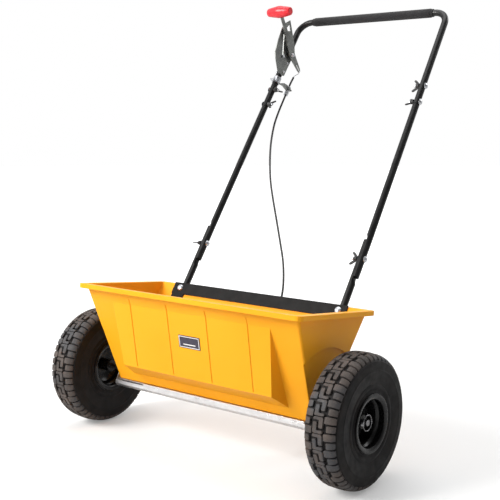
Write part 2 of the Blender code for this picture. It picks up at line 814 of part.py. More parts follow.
def make_valve(frame, name, x):
    """A tyre valve through the rim's well, pointing at the hub."""
    profile = [
        (0.0470, 0),
        (0.0470, 0.0050),
        (0.0452, 0.0055),
        (0.0452, VALVE_RADIUS),
        (0.0300, VALVE_RADIUS),
        (0.0290, 0.0036),
        (0.0235, 0.0036),
        (0.0225, 0),
    ]
    outward = 1 if x > 0 else -1
    valve = turned(profile, 12, "Z")
    return place(name, valve, "black_plastic", frame, (x + outward * VALVE_OFFSET, 0, 0))


def make_lynch_pin(frame, name, side):
    """A pin through the axle's end, its ball head to the front, and a spring ring on it."""
    profile = [
        (-0.0200, 0),
        (-0.0185, 0.0035),
        (-0.0150, 0.0048),
        (-0.0110, 0.0035),
        (-0.0100, 0.0025),
        (0.0150, 0.0025),
        (0.0170, 0),
    ]
    pin = place(name, turned(profile, 12, "Y"), "zinc_steel", frame, (side * LYNCH_X, 0, 0))
    ring_radius, wire = 0.0155, 0.0010
    ring = turned([(0.0040 * side + a, ring_radius + r) for a, r in circle(wire, 5)], 18)
    return join(pin, ring)


def make_axle(frame):
    """The axle, cross-drilled for its pins, with short agitator pins inside the hopper."""
    bar = prism(circle(AXLE_RADIUS, 18), -AXLE_HALF, AXLE_HALF)
    axle = place("agitator_axle", bar, "zinc_steel", frame)
    for k in range(HOLE_COUNT - 1):
        x = (k - (HOLE_COUNT - 2) / 2) * HOLE_PITCH
        join(axle, rod(0.0018, -0.0090, 0.0090, "Y" if k % 2 else "Z", (x, 0), 8))
    for side in (-1, 1):
        cut(axle, rod(0.0025 + GAP, -0.02, 0.02, "Y", (side * LYNCH_X, 0)))
    cut(axle, rod(0.0025 + GAP, -0.02, 0.02, "Z", (DRIVE_PIN_X, 0)))
    return axle


def make_wheels(ground):
    for word, side in (("left", -1), ("right", 1)):
        x = side * WHEEL_X
        make_tyre(ground, f"tyre_{word}", x)
        rim = make_rim(ground, f"rim_{word}", x)
        make_valve(ground, f"tyre_valve_{word}", x)
        make_lynch_pin(ground, f"lynch_pin_{word}", side)
        if side > 0:
            cut(rim, rod(0.0025 + GAP, -0.02, 0.02, "Z", (DRIVE_PIN_X - x, 0)))
    make_axle(ground)
    drive_pin = rod(0.0025, -HUB_RADIUS - 0.002, HUB_RADIUS + 0.002, "Z")
    place("drive_pin", drive_pin, "zinc_steel", ground, (DRIVE_PIN_X, 0, 0))


def make_bush(frame, name, side):
    """A flanged plastic bush that carries the axle in the hopper's end wall."""
    bore = AXLE_RADIUS + GAP
    flange = END_X - ARCH_DEPTH + 0.0015
    profile = [
        (0.2640, bore),
        (0.2640, 0.0090),
        (flange, 0.0090),
        (flange, 0.0140),
        (flange + 0.0025, 0.0140),
        (flange + 0.0025, bore),
    ]
    profile = [(side * along, radius) for along, radius in profile]
    return place(name, turned(profile, 20), "black_plastic", frame)


# ---- tubes

WALL_U = (TUBE_ORIGIN.y - rear_wall(TUBE_ORIGIN.z)) * math.cos(TUBE_LEAN)


def leg_x(side, t):
    """The middle of a handle leg, which leans towards the machine's middle above the lap."""
    rise = max(0, t - FOLD_T - LAP_REACH)
    return side * (TUBE_X - TAPER * rise) + LAP_SHIFT


def make_lower_tube(frame, name, side):
    """A tube bolted to the rear wall, its upper end pressed to a half on its +X side."""
    flat = LAP_SHIFT / 2 - GAP / 2
    start_flat = FOLD_T - LAP_REACH
    stations = (LOWER_START, start_flat - 0.012, start_flat, LOWER_END)
    x = side * TUBE_X
    path = [(x, 0, t) for t in stations]
    outer_flats = [None, None, (1, flat), (1, flat)]
    inner_flats = [None, None, (1, flat - TUBE_WALL), (1, flat - TUBE_WALL)]
    outer = tube_rings(path, TUBE_RADIUS, TUBE_SIDES, outer_flats)
    inner = tube_rings(path, TUBE_RADIUS - TUBE_WALL, TUBE_SIDES, inner_flats)
    tube = place(name, pipe(outer, inner), "black_paint", frame)
    drill = BOLT_RADIUS + GAP
    cut(tube, rod(drill, x - 0.02, x + 0.02, "X", (0, FOLD_T)))
    for t in PLATE_BOLTS:
        cut(tube, rod(drill, -0.02, 0.02, "Y", (x, t)))
    return tube


def make_mid_tube(frame, name, side):
    """A tube pressed to a half at its lower end and drawn down to a spigot at its upper end."""
    flat = LAP_SHIFT / 2 - GAP / 2
    end_flat = FOLD_T + LAP_REACH
    stations = (MID_START, end_flat, end_flat + 0.012, MID_END, MID_END + 0.002, SPIGOT_END)
    path = [(leg_x(side, t), 0, t - FOLD_T) for t in stations]
    spigot = TUBE_RADIUS - TUBE_WALL - 0.00035
    radii = [TUBE_RADIUS] * 4 + [spigot] * 2
    none = [None] * 4
    outer = tube_rings(path, radii, TUBE_SIDES, [(-1, flat)] * 2 + none)
    bores = [radius - TUBE_WALL for radius in radii]
    inner = tube_rings(path, bores, TUBE_SIDES, [(-1, flat - TUBE_WALL)] * 2 + none)
    tube = place(name, pipe(outer, inner), "black_paint", frame)
    for t in (FOLD_T, *UPPER_BOLTS):
        x = leg_x(side, t)
        cut(tube, rod(BOLT_RADIUS + GAP, x - 0.02, x + 0.02, "X", (0, t - FOLD_T)))
    return tube


def make_upper_tube(frame):
    """The U-shaped push bar, its legs slid over the mid tubes' spigots."""
    path = [(leg_x(-1, UPPER_START), 0, UPPER_START - FOLD_T)]
    bend_t = BAR_T - BEND_RADIUS
    for side in (-1, 1):
        centre = (leg_x(side, bend_t) - side * BEND_RADIUS, bend_t - FOLD_T)
        angles = (180, 90) if side < 0 else (90, 0)
        path += [(px, 0, pz) for px, pz in arc(centre, BEND_RADIUS, *angles, 6)]
    path.append((leg_x(1, UPPER_START), 0, UPPER_START - FOLD_T))
    outer = tube_rings(path, TUBE_RADIUS, TUBE_SIDES)
    inner = tube_rings(path, TUBE_RADIUS - TUBE_WALL, TUBE_SIDES)
    tube = place("push_bar", pipe(outer, inner), "black_paint", frame)
    for side in (-1, 1):
        for t in UPPER_BOLTS:
            x = leg_x(side, t)
            cut(tube, rod(BOLT_RADIUS + GAP, x - 0.02, x + 0.02, "X", (0, t - FOLD_T)))
    for t in QUADRANT_BOLTS:
        x = leg_x(-1, t)
        cut(tube, rod(0.002 + GAP, x - 0.02, x + 0.02, "X", (0, t - FOLD_T)))
    return tube


def make_grip(frame):
    """A foam sleeve on the push bar, with a thin step at each end."""
    bore = TUBE_RADIUS + GAP
    step = 0.0097
    profile = [
        (-GRIP_HALF, bore),
        (-GRIP_HALF, step),
        (-GRIP_HALF + 0.006, step),
        (-GRIP_HALF + 0.007, GRIP_RADIUS),
        (GRIP_HALF - 0.007, GRIP_RADIUS),
        (GRIP_HALF - 0.006, step),
        (GRIP_HALF, step),
        (GRIP_HALF, bore),
    ]
    location = (LAP_SHIFT, 0, BAR_T - FOLD_T)
    return place("foam_grip", turned(profile, 24), "foam", frame, location)


def make_cross_plate(frame):
    """A plate inside the rear wall with a leg behind each tube, in the tube frame."""
    top, foot, half, leg_half = 0.002, -0.100, 0.245, 0.018
    low = -0.027
    outline = [(-half, top), (-half, low)]
    for side in (-1, 1):
        near, far = side * TUBE_X - leg_half, side * TUBE_X + leg_half
        outline += [(near, low), (near, foot), (far, foot), (far, low)]
    outline += [(half, low), (half, top)]
    front = -(WALL_U + WALL + GAP + 0.0025)
    plate = prism(outline, front, front + 0.0025, "Y")
    cross = place("cross_plate", plate, "black_paint", frame)
    for side in (-1, 1):
        for t in PLATE_BOLTS:
            cut(cross, rod(BOLT_RADIUS + GAP, front - 0.01, front + 0.01, "Y", (side * TUBE_X, t)))
    return cross


def make_plate_bolts(frame):
    """Bolts through plate, wall and tube, each in one piece with its nut behind the tube."""
    head = WALL_U + WALL + 2 * GAP + 0.0025
    nut_start = head + TUBE_RADIUS + GAP
    mesh = round_head(0.00825, 0.0040, nut_start + 0.007, (nut_start, nut_start + 0.005, 0.0055))
    turn = (0, 0, -math.pi / 2)
    for word, side in (("left", -1), ("right", 1)):
        for level_word, t in zip(("upper", "lower"), PLATE_BOLTS):
            name = f"plate_bolt_{level_word}_{word}"
            place(name, mesh, "zinc_steel", frame, (side * TUBE_X, -head, t), turn)


def make_stand_bolts(frame):
    """Bolts from inside the hopper through its rear wall and the stand."""
    head = WALL_U + WALL + GAP
    nut_start = WALL + 3 * GAP + STAND_SHEET
    mesh = round_head(0.0075, 0.0035, nut_start + 0.007, (nut_start, nut_start + 0.005, 0.0055))
    turn = (0, 0, -math.pi / 2)
    for word, shift in (("left", -STAND_BOLT_SPREAD), ("right", STAND_BOLT_SPREAD)):
        place(f"stand_bolt_{word}", mesh, "zinc_steel", frame, (STAND_X + shift, -head, STAND_BOLT_T), turn)


def make_handle_fasteners(frame):
    """The two pivot bolts, the four joint bolts, and a wing nut on each."""
    nut = wing_nut_mesh()
    half = TUBE_RADIUS + GAP
    pivot_length = 2 * half + LAP_SHIFT + 0.013
    pivot = round_head(0.0075, 0.0040, pivot_length)
    joint = round_head(0.0075, 0.0040, 2 * half + 0.013)
    for word, side in (("left", -1), ("right", 1)):
        head_x = leg_x(side, FOLD_T) + half
        nut_x = side * TUBE_X - half
        place(f"pivot_bolt_{word}", pivot, "zinc_steel", frame, (head_x, 0, 0))
        turn = math.radians(NUT_TURNS[f"pivot_{word}"])
        place(f"pivot_wing_nut_{word}", nut, "black_plastic", frame, (nut_x, 0, 0), (turn, 0, 0))
        for level_word, t in zip(("lower", "upper"), UPPER_BOLTS):
            x = leg_x(side, t)
            facing = 0 if side > 0 else math.pi
            spot = (x + side * half, 0, t - FOLD_T)
            place(f"joint_bolt_{level_word}_{word}", joint, "zinc_steel", frame, spot, (0, 0, facing))
            spot = (x - side * half, 0, t - FOLD_T)
            name = f"joint_wing_nut_{level_word}_{word}"
            turn = math.radians(NUT_TURNS[f"{level_word}_{word}"])
            place(name, nut, "black_plastic", frame, spot, (turn, 0, facing))


# ---- control


def side_view(points):
    """(up the tube, forward) places as the handle frame's (y, z)."""
    return [(-u, t - FOLD_T) for t, u in points]


def slot_outline():
    """The straight slot that the rate stop slides in, with round ends."""
    low, high = (Vector(end) for end in SLOT_ENDS)
    along = math.degrees(math.atan2(high.y - low.y, high.x - low.x))
    upper = arc(high, SLOT_HALF, along - 90, along + 90, 4)
    lower = arc(low, SLOT_HALF, along + 90, along + 270, 4)
    return upper + lower


def make_quadrant(frame):
    """The plate that carries the lever, with a slot for the rate stop and an eye above it."""
    outline = [
        (0.6265, 0.0210),
        (0.6440, 0.0430),
        (0.6600, 0.0595),
        (0.6950, 0.0660),
        (0.7270, 0.0700),
        (0.746, 0.068),
        (0.768, 0.054),
        (0.747, 0.027),
        (0.728, 0.002),
        (0.708, -0.013),
        (0.683, -0.009),
        (0.633, -0.007),
        (0.629, 0.000),
    ]
    left = CONTROL_X - QUADRANT_THICKNESS
    plate = prism(side_view(outline), left, CONTROL_X)
    quadrant = place("quadrant_plate", plate, "grey_steel", frame)
    cut(quadrant, prism(side_view(slot_outline()), left - 0.01, CONTROL_X + 0.01))
    eye = [(0.739, 0.056), (0.758, 0.050), (0.746, 0.037), (0.737, 0.048)]
    cut(quadrant, prism(side_view(eye), left - 0.01, CONTROL_X + 0.01))
    for t in QUADRANT_BOLTS:
        cut(quadrant, rod(0.002 + GAP, left - 0.01, CONTROL_X + 0.01, "X", (0, t - FOLD_T)))
    pivot = side_view([LEVER_PIVOT])[0]
    cut(quadrant, rod(BOLT_RADIUS + GAP, left - 0.01, CONTROL_X + 0.01, "X", pivot))
    return quadrant


def make_quadrant_bolts(frame):
    """Two small through bolts that hold the quadrant plate to the push bar's left leg."""
    tube_x = leg_x(-1, QUADRANT_BOLTS[0])
    head_x = CONTROL_X + GAP
    reach = head_x - (tube_x - TUBE_RADIUS) + 0.001
    profile = [
        (0.0022, 0),
        (0.0018, 0.0026),
        (0, 0.0036),
        (0, 0.002),
        (-reach, 0.002),
        (-reach, 0.0036),
        (-reach - 0.003, 0.0036),
        (-reach - 0.003, 0),
    ]
    mesh = turned(profile, 12)
    for word, t in zip(("lower", "upper"), QUADRANT_BOLTS):
        place(f"quadrant_bolt_{word}", mesh, "zinc_steel", frame, (head_x, 0, t - FOLD_T))


def make_lever(frame):
    """The lever: a strip from its cable tail, over its pivot, to the stem in its knob."""
    pivot_t, pivot_u = LEVER_PIVOT
    tip_t, tip_u = LEVER_TIP[0] - pivot_t, LEVER_TIP[1] - pivot_u
    reach = math.hypot(tip_t, tip_u)
    along = math.atan2(tip_u, tip_t)

    def lever_point(forward, sideways):
        """A place along the lever and to the side of it, as (up, forward) from the pivot."""
        cosine, sine = math.cos(along), math.sin(along)
        return (forward * cosine - sideways * sine, forward * sine + sideways * cosine)

    def tail_point(back, sideways):
        """A place along the tail, which bends away from the lever's own line at the pivot."""
        direction = Vector(TAIL_TIP) - Vector(LEVER_PIVOT)
        direction.normalize()
        across = Vector((-direction.y, direction.x))
        return tuple(direction * back - across * sideways)

    stem_end = reach - KNOB_RADIUS * 0.55

    def stem_point(forward, ends, out=0.0):
        """A place on one edge of the stem, whose ends are that far to the side."""
        share = (forward - STEM_FOOT) / (stem_end - STEM_FOOT)
        return lever_point(forward, ends[0] + (ends[1] - ends[0]) * share + out)

    outline = [
        stem_point(stem_end, STEM_FRONT),
        stem_point(STEM_FOOT, STEM_FRONT),
        lever_point(0.030, 0.0100),
        lever_point(0.000, 0.0120),
        tail_point(0.012, 0.0100),
        tail_point(0.046, 0.0060),
        tail_point(0.0535, 0.0035),
        tail_point(0.0535, -0.0035),
        tail_point(0.046, -0.0060),
        tail_point(0.012, -0.0100),
        lever_point(0.010, -0.0120),
        lever_point(0.040, -0.0090),
        stem_point(STEM_FOOT, STEM_REAR),
        stem_point(stem_end, STEM_REAR),
    ]
    section = [(-u, t) for t, u in outline]
    left = LEVER_X
    pivot = (0, -pivot_u, pivot_t - FOLD_T)
    strip = prism(section, left, left + LEVER_THICKNESS)
    lever = place("control_lever", strip, "grey_steel", frame, pivot)
    cut(lever, rod(BOLT_RADIUS + GAP, left - 0.01, left + 0.01, "X"))
    slot = []
    for k in range(12):
        angle = 2 * math.pi * k / 12
        back = 0.0405 + 0.0022 * math.sin(angle) + (0.0085 if k < 6 else -0.0085)
        slot.append(tail_point(back, 0.0022 * math.cos(angle)))
    cut(lever, prism([(-u, t) for t, u in slot], left - 0.01, left + 0.01))
    knob_profile = [
        (-KNOB_LENGTH / 2, 0),
        (-KNOB_LENGTH / 2, 0.0090),
        (-KNOB_LENGTH / 2 + 0.002, 0.0105),
        (-0.004, KNOB_RADIUS),
        (0.004, KNOB_RADIUS),
        (KNOB_LENGTH / 2 - 0.002, 0.0105),
        (KNOB_LENGTH / 2, 0.0090),
        (KNOB_LENGTH / 2, 0),
    ]
    knob_x = left + LEVER_THICKNESS / 2 - KNOB_SHIFT
    spot = (knob_x, -tip_u, tip_t)
    knob = place("lever_knob", turned(knob_profile, 16), "red_plastic", frame, pivot)
    knob.data.transform(shift(spot))
    pocket = [(-u, t) for t, u in (
        stem_point(reach - 0.030, STEM_FRONT, GAP),
        stem_point(stem_end + GAP, STEM_FRONT, GAP),
        stem_point(stem_end + GAP, STEM_REAR, -GAP),
        stem_point(reach - 0.030, STEM_REAR, -GAP),
    )]
    cut(knob, prism(pocket, left - GAP, left + LEVER_THICKNESS + GAP))
    head_x = left + LEVER_THICKNESS + GAP
    shoulder = left - GAP - head_x
    shoulder_end = CONTROL_X + GAP - head_x
    bolt = turned(
        [
            (0.0045, 0),
            (0.0040, 0.0045),
            (0.0000, 0.0060),
            (0.0000, BOLT_RADIUS),
            (shoulder, BOLT_RADIUS),
            (shoulder, 0.0055),
            (shoulder_end, 0.0055),
            (shoulder_end, BOLT_RADIUS),
            (shoulder_end - QUADRANT_THICKNESS, BOLT_RADIUS),
            (shoulder_end - QUADRANT_THICKNESS, 0),
        ],
        12,
    )
    place("lever_pivot_bolt", bolt, "zinc_steel", frame, (head_x, *pivot[1:]))
    return lever


def shift(offset):
    """A matrix that moves a mesh by an offset."""
    return Matrix.Translation(offset)


def make_rate_stop(frame):
    """A stop at the foot of the quadrant's slot, low enough for the lever to pass, and its nut."""
    t, u = SLOT_ENDS[0]
    head_x, left = CONTROL_X + GAP, CONTROL_X - QUADRANT_THICKNESS
    stud = SLOT_HALF - GAP
    profile = [
        (head_x + STOP_HEAD, 0),
        (head_x + STOP_HEAD, 0.0040),
        (head_x, 0.0040),
        (head_x, stud),
        (left - 0.0065, stud),
        (left - 0.0065, 0),
    ]
    place("rate_stop", turned(profile, 12), "zinc_steel", frame, (0, -u, t - FOLD_T))
    bore = (stud + GAP) / math.cos(math.radians(30))  # six-sided, so its flats clear the stud
    nut_profile = [(-0.0040, bore), (-0.0040, 0.0046), (0, 0.0046), (0, bore)]
    place("rate_stop_nut", turned(nut_profile, 6), "zinc_steel", frame, (left - GAP, -u, t - FOLD_T))


def make_tube_clamp(frame):
    """A clamp band round the left leg under the quadrant, with an ear at its front."""
    low, high = 0.604, 0.622
    x = leg_x(-1, (low + high) / 2)
    bore, outer = TUBE_RADIUS + 0.0004, TUBE_RADIUS + 0.0022
    middle = (low + high) / 2 - FOLD_T
    half = (high - low) / 2
    band = turned([(-half, bore), (-half, outer), (half, outer), (half, bore)], 20, "Z")
    clamp = place("tube_clamp", band, "zinc_steel", frame, (x, 0, middle))
    ear = box((-0.006, -0.0185, -half), (0.006, -outer + 0.001, -half + 0.003))
    return join(clamp, ear)


def make_cable_arm(frame):
    """The strip behind the left leg that ends in the cable's stop, with its adjuster and nut."""
    left = CONTROL_X - QUADRANT_THICKNESS
    x, middle, forward = CABLE_STOP
    half_sheet = 0.0015
    strip = [
        (0.6120, -0.0106),
        (middle + half_sheet, -0.0250),
        (middle + half_sheet, forward - 0.0080),
        (middle - half_sheet, forward - 0.0080),
        (middle - half_sheet, -0.0240),
        (0.6090, -0.0106),
    ]
    arm = prism(side_view(strip), left - 0.006, left + 0.010)
    arm = place("cable_arm", arm, "grey_steel", frame)
    thread, bore = 0.0043, CABLE_RADIUS + GAP
    cut(arm, rod(thread + GAP, 0.48, 0.51, "Z", (x, -forward)))
    profile = [
        (-0.0190, bore),
        (-0.0190, 0.0058),
        (-0.0060, 0.0058),
        (-0.0055, thread),
        (0.0022, thread),
        (0.0022, 0.0062),
        (0.0062, 0.0062),
        (0.0062, bore),
    ]
    spot = (x, -forward, middle - FOLD_T)
    place("cable_adjuster", turned(profile, 12, "Z"), "zinc_steel", frame, spot)
    return arm


# ---- cable

def smooth_through(points, steps):
    """Points on a Catmull-Rom curve through a route's own points."""
    known = [Vector(point) for point in points]
    ends = [2 * known[0] - known[1], *known, 2 * known[-1] - known[-2]]
    found = []
    for k in range(1, len(ends) - 2):
        a, b, c, d = ends[k - 1 : k + 3]
        for j in range(steps):
            s = j / steps
            found.append(
                0.5 * (2 * b + (c - a) * s + (2 * a - 5 * b + 4 * c - d) * s * s
                       + (3 * b - a - 3 * c + d) * s**3)
            )
    found.append(known[-1])
    return found


def make_cord(frame, name, points, radius, slot):
    """A round cord through points of a frame."""
    curve = bpy.data.curves.new(name, "CURVE")
    curve.dimensions = "3D"
    curve.bevel_depth = radius
    curve.bevel_resolution = 2
    curve.use_fill_caps = True
    spline = curve.splines.new("POLY")
    spline.points.add(len(points) - 1)
    for point, place_on in zip(spline.points, points):
        point.co = (*place_on, 1)
    made = bpy.data.objects.new(name, curve)
    bpy.context.scene.collection.objects.link(made)
    made.parent = frame
    curve.materials.append(finish(slot))
    return made


def make_cables(frame):
    """The sheath from the adjuster to the crank bracket, and the bare wire at each end."""
    route = [(x, -u, t) for x, t, u in SHEATH_ROUTE]
    make_cord(frame, "cable_sheath", smooth_through(route, 4), CABLE_RADIUS, "black_plastic")
    tail_t, tail_u = TAIL_TIP
    wire_x = LEVER_X + LEVER_THICKNESS + GAP + WIRE_RADIUS
    end_x, end_t, end_u = SHEATH_ROUTE[0]
    top = [
        (wire_x, -tail_u, tail_t + 0.002),
        (wire_x, -tail_u, tail_t - 0.008),
        (end_x, -end_u, end_t + 0.004),
        (end_x, -end_u, end_t + GAP),
    ]
    make_cord(frame, "cable_wire_upper", top, WIRE_RADIUS, "zinc_steel")
    tip_x = CABLE_ARM * math.cos(CRANK_SWING)
    tip_z = CRANK_Z - CABLE_ARM * math.sin(CRANK_SWING)
    tip_y = CRANK_Y + CRANK_SHEET + GAP + WIRE_RADIUS
    offset = Vector((0, tip_y, tip_z)) - TUBE_ORIGIN
    sine, cosine = math.sin(TUBE_LEAN), math.cos(TUBE_LEAN)
    tip_t = offset.y * sine + offset.z * cosine
    tip_rear = offset.y * cosine - offset.z * sine
    bottom = [
        (CABLE_X, -CABLE_U, STOP_T - 0.0001),
        (CABLE_X, -CABLE_U, STOP_T - 0.004),
        (tip_x, tip_rear, tip_t + 0.006),
        (tip_x, tip_rear, tip_t),
    ]
    make_cord(frame, "cable_wire_lower", bottom, WIRE_RADIUS, "zinc_steel")


def main():
    clear_scene()
    ground = empty("ground_frame", None, (0, AXLE_Y, 0))
    axle_frame = empty("axle_frame", ground, (0, 0, WHEEL_RADIUS))
    leaned = empty("leaned_frame", axle_frame, lean=LEAN)
    tubes = empty("tube_frame", leaned, TUBE_ORIGIN, TUBE_LEAN)
    handle = empty("handle_frame", tubes, (0, 0, FOLD_T))

    make_hopper(leaned)
    make_name_plate(leaned)
    make_channel(leaned)
    make_shutter(leaned)
    make_crank(leaned)
    make_crank_bracket(leaned)
    make_bush(leaned, "axle_bush_left", -1)
    make_bush(leaned, "axle_bush_right", 1)
    make_stand(ground)
    make_stand_bolts(tubes)
    make_wheels(axle_frame)

    for word, side in (("left", -1), ("right", 1)):
        make_lower_tube(tubes, f"lower_tube_{word}", side)
        make_mid_tube(handle, f"mid_tube_{word}", side)
    make_cross_plate(tubes)
    make_plate_bolts(tubes)
    make_upper_tube(handle)
    make_grip(handle)
    make_handle_fasteners(handle)

    make_quadrant(handle)
    make_quadrant_bolts(handle)
    make_lever(handle)
    make_rate_stop(handle)
    make_tube_clamp(handle)
    make_cable_arm(handle)
    make_cables(tubes)


main()
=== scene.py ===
"""Looks for the drop spreader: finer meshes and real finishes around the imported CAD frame.

Shapes are laid out in the same three frames as the part: the ground (world), the hopper's own
level frame, LEANED, whose origin is on the axle, and the tubes' frame, TUBES, with +Z up the
tubes and +Y to their rear. All sizes are in metres.
"""

import json
import math

import bmesh
import bpy
from mathutils import Matrix, Vector

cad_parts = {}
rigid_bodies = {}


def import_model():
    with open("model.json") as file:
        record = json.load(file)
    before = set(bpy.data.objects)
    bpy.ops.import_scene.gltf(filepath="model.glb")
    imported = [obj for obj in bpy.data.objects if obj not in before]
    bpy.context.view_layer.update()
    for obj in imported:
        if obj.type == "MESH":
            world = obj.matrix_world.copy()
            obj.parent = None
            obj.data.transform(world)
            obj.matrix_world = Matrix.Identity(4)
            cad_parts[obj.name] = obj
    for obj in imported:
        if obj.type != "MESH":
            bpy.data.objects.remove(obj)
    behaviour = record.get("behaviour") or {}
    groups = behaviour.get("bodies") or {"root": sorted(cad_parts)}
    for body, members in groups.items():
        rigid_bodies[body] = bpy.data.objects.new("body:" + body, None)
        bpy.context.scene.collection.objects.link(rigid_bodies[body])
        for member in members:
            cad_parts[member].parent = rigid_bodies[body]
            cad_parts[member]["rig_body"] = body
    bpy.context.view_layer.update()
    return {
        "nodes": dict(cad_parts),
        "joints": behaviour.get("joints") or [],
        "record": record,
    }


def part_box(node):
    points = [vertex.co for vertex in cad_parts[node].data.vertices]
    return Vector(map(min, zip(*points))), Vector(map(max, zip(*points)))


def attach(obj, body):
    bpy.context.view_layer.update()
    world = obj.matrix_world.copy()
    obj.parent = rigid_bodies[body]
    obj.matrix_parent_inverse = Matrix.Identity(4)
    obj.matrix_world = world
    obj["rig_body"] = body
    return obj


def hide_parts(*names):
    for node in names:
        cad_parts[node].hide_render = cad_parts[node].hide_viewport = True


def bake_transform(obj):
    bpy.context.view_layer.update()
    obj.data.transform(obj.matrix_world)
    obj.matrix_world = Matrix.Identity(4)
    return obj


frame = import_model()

JOINTS = {joint["name"]: joint for joint in frame["joints"]}
SLOTS = {row["node"]: row["material_slot"] for row in frame["record"]["subparts"]}
BODY_OF = {name: node["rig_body"] for name, node in frame["nodes"].items()}

# Frames
AXLE = Vector(JOINTS["axle_spin"]["pos_m"])
LEAN = math.radians(6.6)
TUBE_LEAN = math.radians(28.56)
TUBE_ORIGIN = Vector((0, 0.1322, 0.1965))
LEANED = Matrix.Translation(AXLE) @ Matrix.Rotation(-LEAN, 4, "X")
TUBES = LEANED @ Matrix.Translation(TUBE_ORIGIN) @ Matrix.Rotation(-TUBE_LEAN, 4, "X")

# Wheels
WHEEL_X = -JOINTS["left_wheel_spin"]["pos_m"][0]
WHEEL_RADIUS = AXLE.z
TREAD_PITCHES = 26
TREAD_DEPTH, TREAD_GAP = 0.0052, 0.0028
SHORT_BY = 0.0055  # every second shoulder block starts this much farther out
BLOCK_BEVEL, BLOCK_EDGE, BLOCK_ROOT = 0.0006, 0.0007, 0.0008  # worn edge in, and down; sunk foot
TREAD_MIDDLE, TREAD_EDGE = 0.0108, 0.0332  # half width of the middle column, and of the tread
CROWN_DROPS = [  # (distance from the tyre's middle, how far the tread has dropped there)
    (0, 0),
    (0.0150, 0.0005),
    (0.0200, 0.0013),
    (0.0240, 0.0023),
    (0.0280, 0.0041),
    (0.0315, 0.0065),
    (0.0340, 0.0100),
    (0.0358, 0.0140),
]
HUB_RADIUS = 0.014
AXLE_RADIUS = 0.006
LYNCH_X, HUB_END = 0.3778, 0.0170
LYNCH_RING, LYNCH_WIRE, LYNCH_RING_OUT = 0.0155, 0.0010, 0.0040
VALVE_OUT = 0.010
WHEEL_STEPS = 112

# Tubes and push bar, as places up the tubes
TUBE_RADIUS, TUBE_WALL = 0.00795, 0.0012
TUBE_X, TAPER, LAP_SHIFT, LAP_REACH = 0.2242, 0.0125, 0.003, 0.048
FOLD_T = 0.120
UPPER_START, BAR_T, BEND_RADIUS = 0.529, 0.803, 0.036
BEND_STEPS, BEND_LEAD = 16, 0.02  # points in a bend, and the straight stretch before it
GRIP_HALF, GRIP_RADIUS, GRIP_COLLAR, GRIP_RINGS = 0.177, 0.011, 0.0097, 24
TUBE_STEPS = 40

# Control on the left leg
LEVER_TIP = (0.7535, 0.1037)
KNOB_LENGTH, KNOB_RADIUS = 0.071, 0.0155
KNOB_X = -0.20345

# Hopper and its label
HOPPER_EDGE, HOPPER_SHARP = 0.0011, 9.0  # edges over this many degrees are rounded
LABEL_MARGIN, LABEL_LINE = 0.0022, 0.0006
LABEL_FACE = 0.0007  # from the plate's middle to its face
LABEL_UNDER, LABEL_OVER = -0.0004, 0.0002  # the lines' depth, from the plate's face

# Cable
CABLE_RADIUS = 0.0025
SHEATH_ROUTE = [  # (x, up the tubes, forward of them)
    (-0.2034, 0.6550, -0.0428),
    (-0.2034, 0.6350, -0.0410),
    (-0.2034, 0.6150, -0.0408),
    (-0.2034, 0.5950, -0.0408),
    (-0.2034, 0.5700, -0.0410),
    (-0.2036, 0.5450, -0.0415),
    (-0.2030, 0.5080, -0.0440),
    (-0.1945, 0.4680, -0.0443),
    (-0.1807, 0.4293, -0.0416),
    (-0.1610, 0.3840, -0.0388),
    (-0.1330, 0.3297, -0.0347),
    (-0.1041, 0.2823, -0.0315),
    (-0.0595, 0.2141, -0.0268),
    (-0.0170, 0.1489, -0.0223),
    (0.0095, 0.1070, -0.0195),
    (0.0306, 0.0658, -0.0170),
    (0.0460, 0.0252, -0.0150),
    (0.0530, -0.0150, -0.0135),
    (0.0568, -0.0600, -0.0110),
    (0.0580, -0.1000, -0.0085),
    (0.0580, -0.1324, -0.0076),
]

# Camera: where it looks, from where, and its lens
VIEW_CENTRE = AXLE + Vector((0.09523, 0.0, 0.3109))
VIEW_AZIMUTH, VIEW_ELEVATION = math.radians(38.25), math.radians(7.58)
VIEW_DISTANCE, VIEW_LENS = 1.94814, 68.12

# Stage
FLOOR_RADII, FLOOR_STEPS, FLOOR_BELOW = (4.0, 9.0, 14.0), 64, 0.0005
WORLD_DIM, WORLD_BRIGHT = 0.20, 1.0
WORLD_BRIGHT_WAY = Vector((-0.80, 0.60, 0.05))
LIGHTS_CENTRE = (0, 0, 0.35)

bpy.context.scene.view_settings.view_transform = "Standard"


# ---- materials


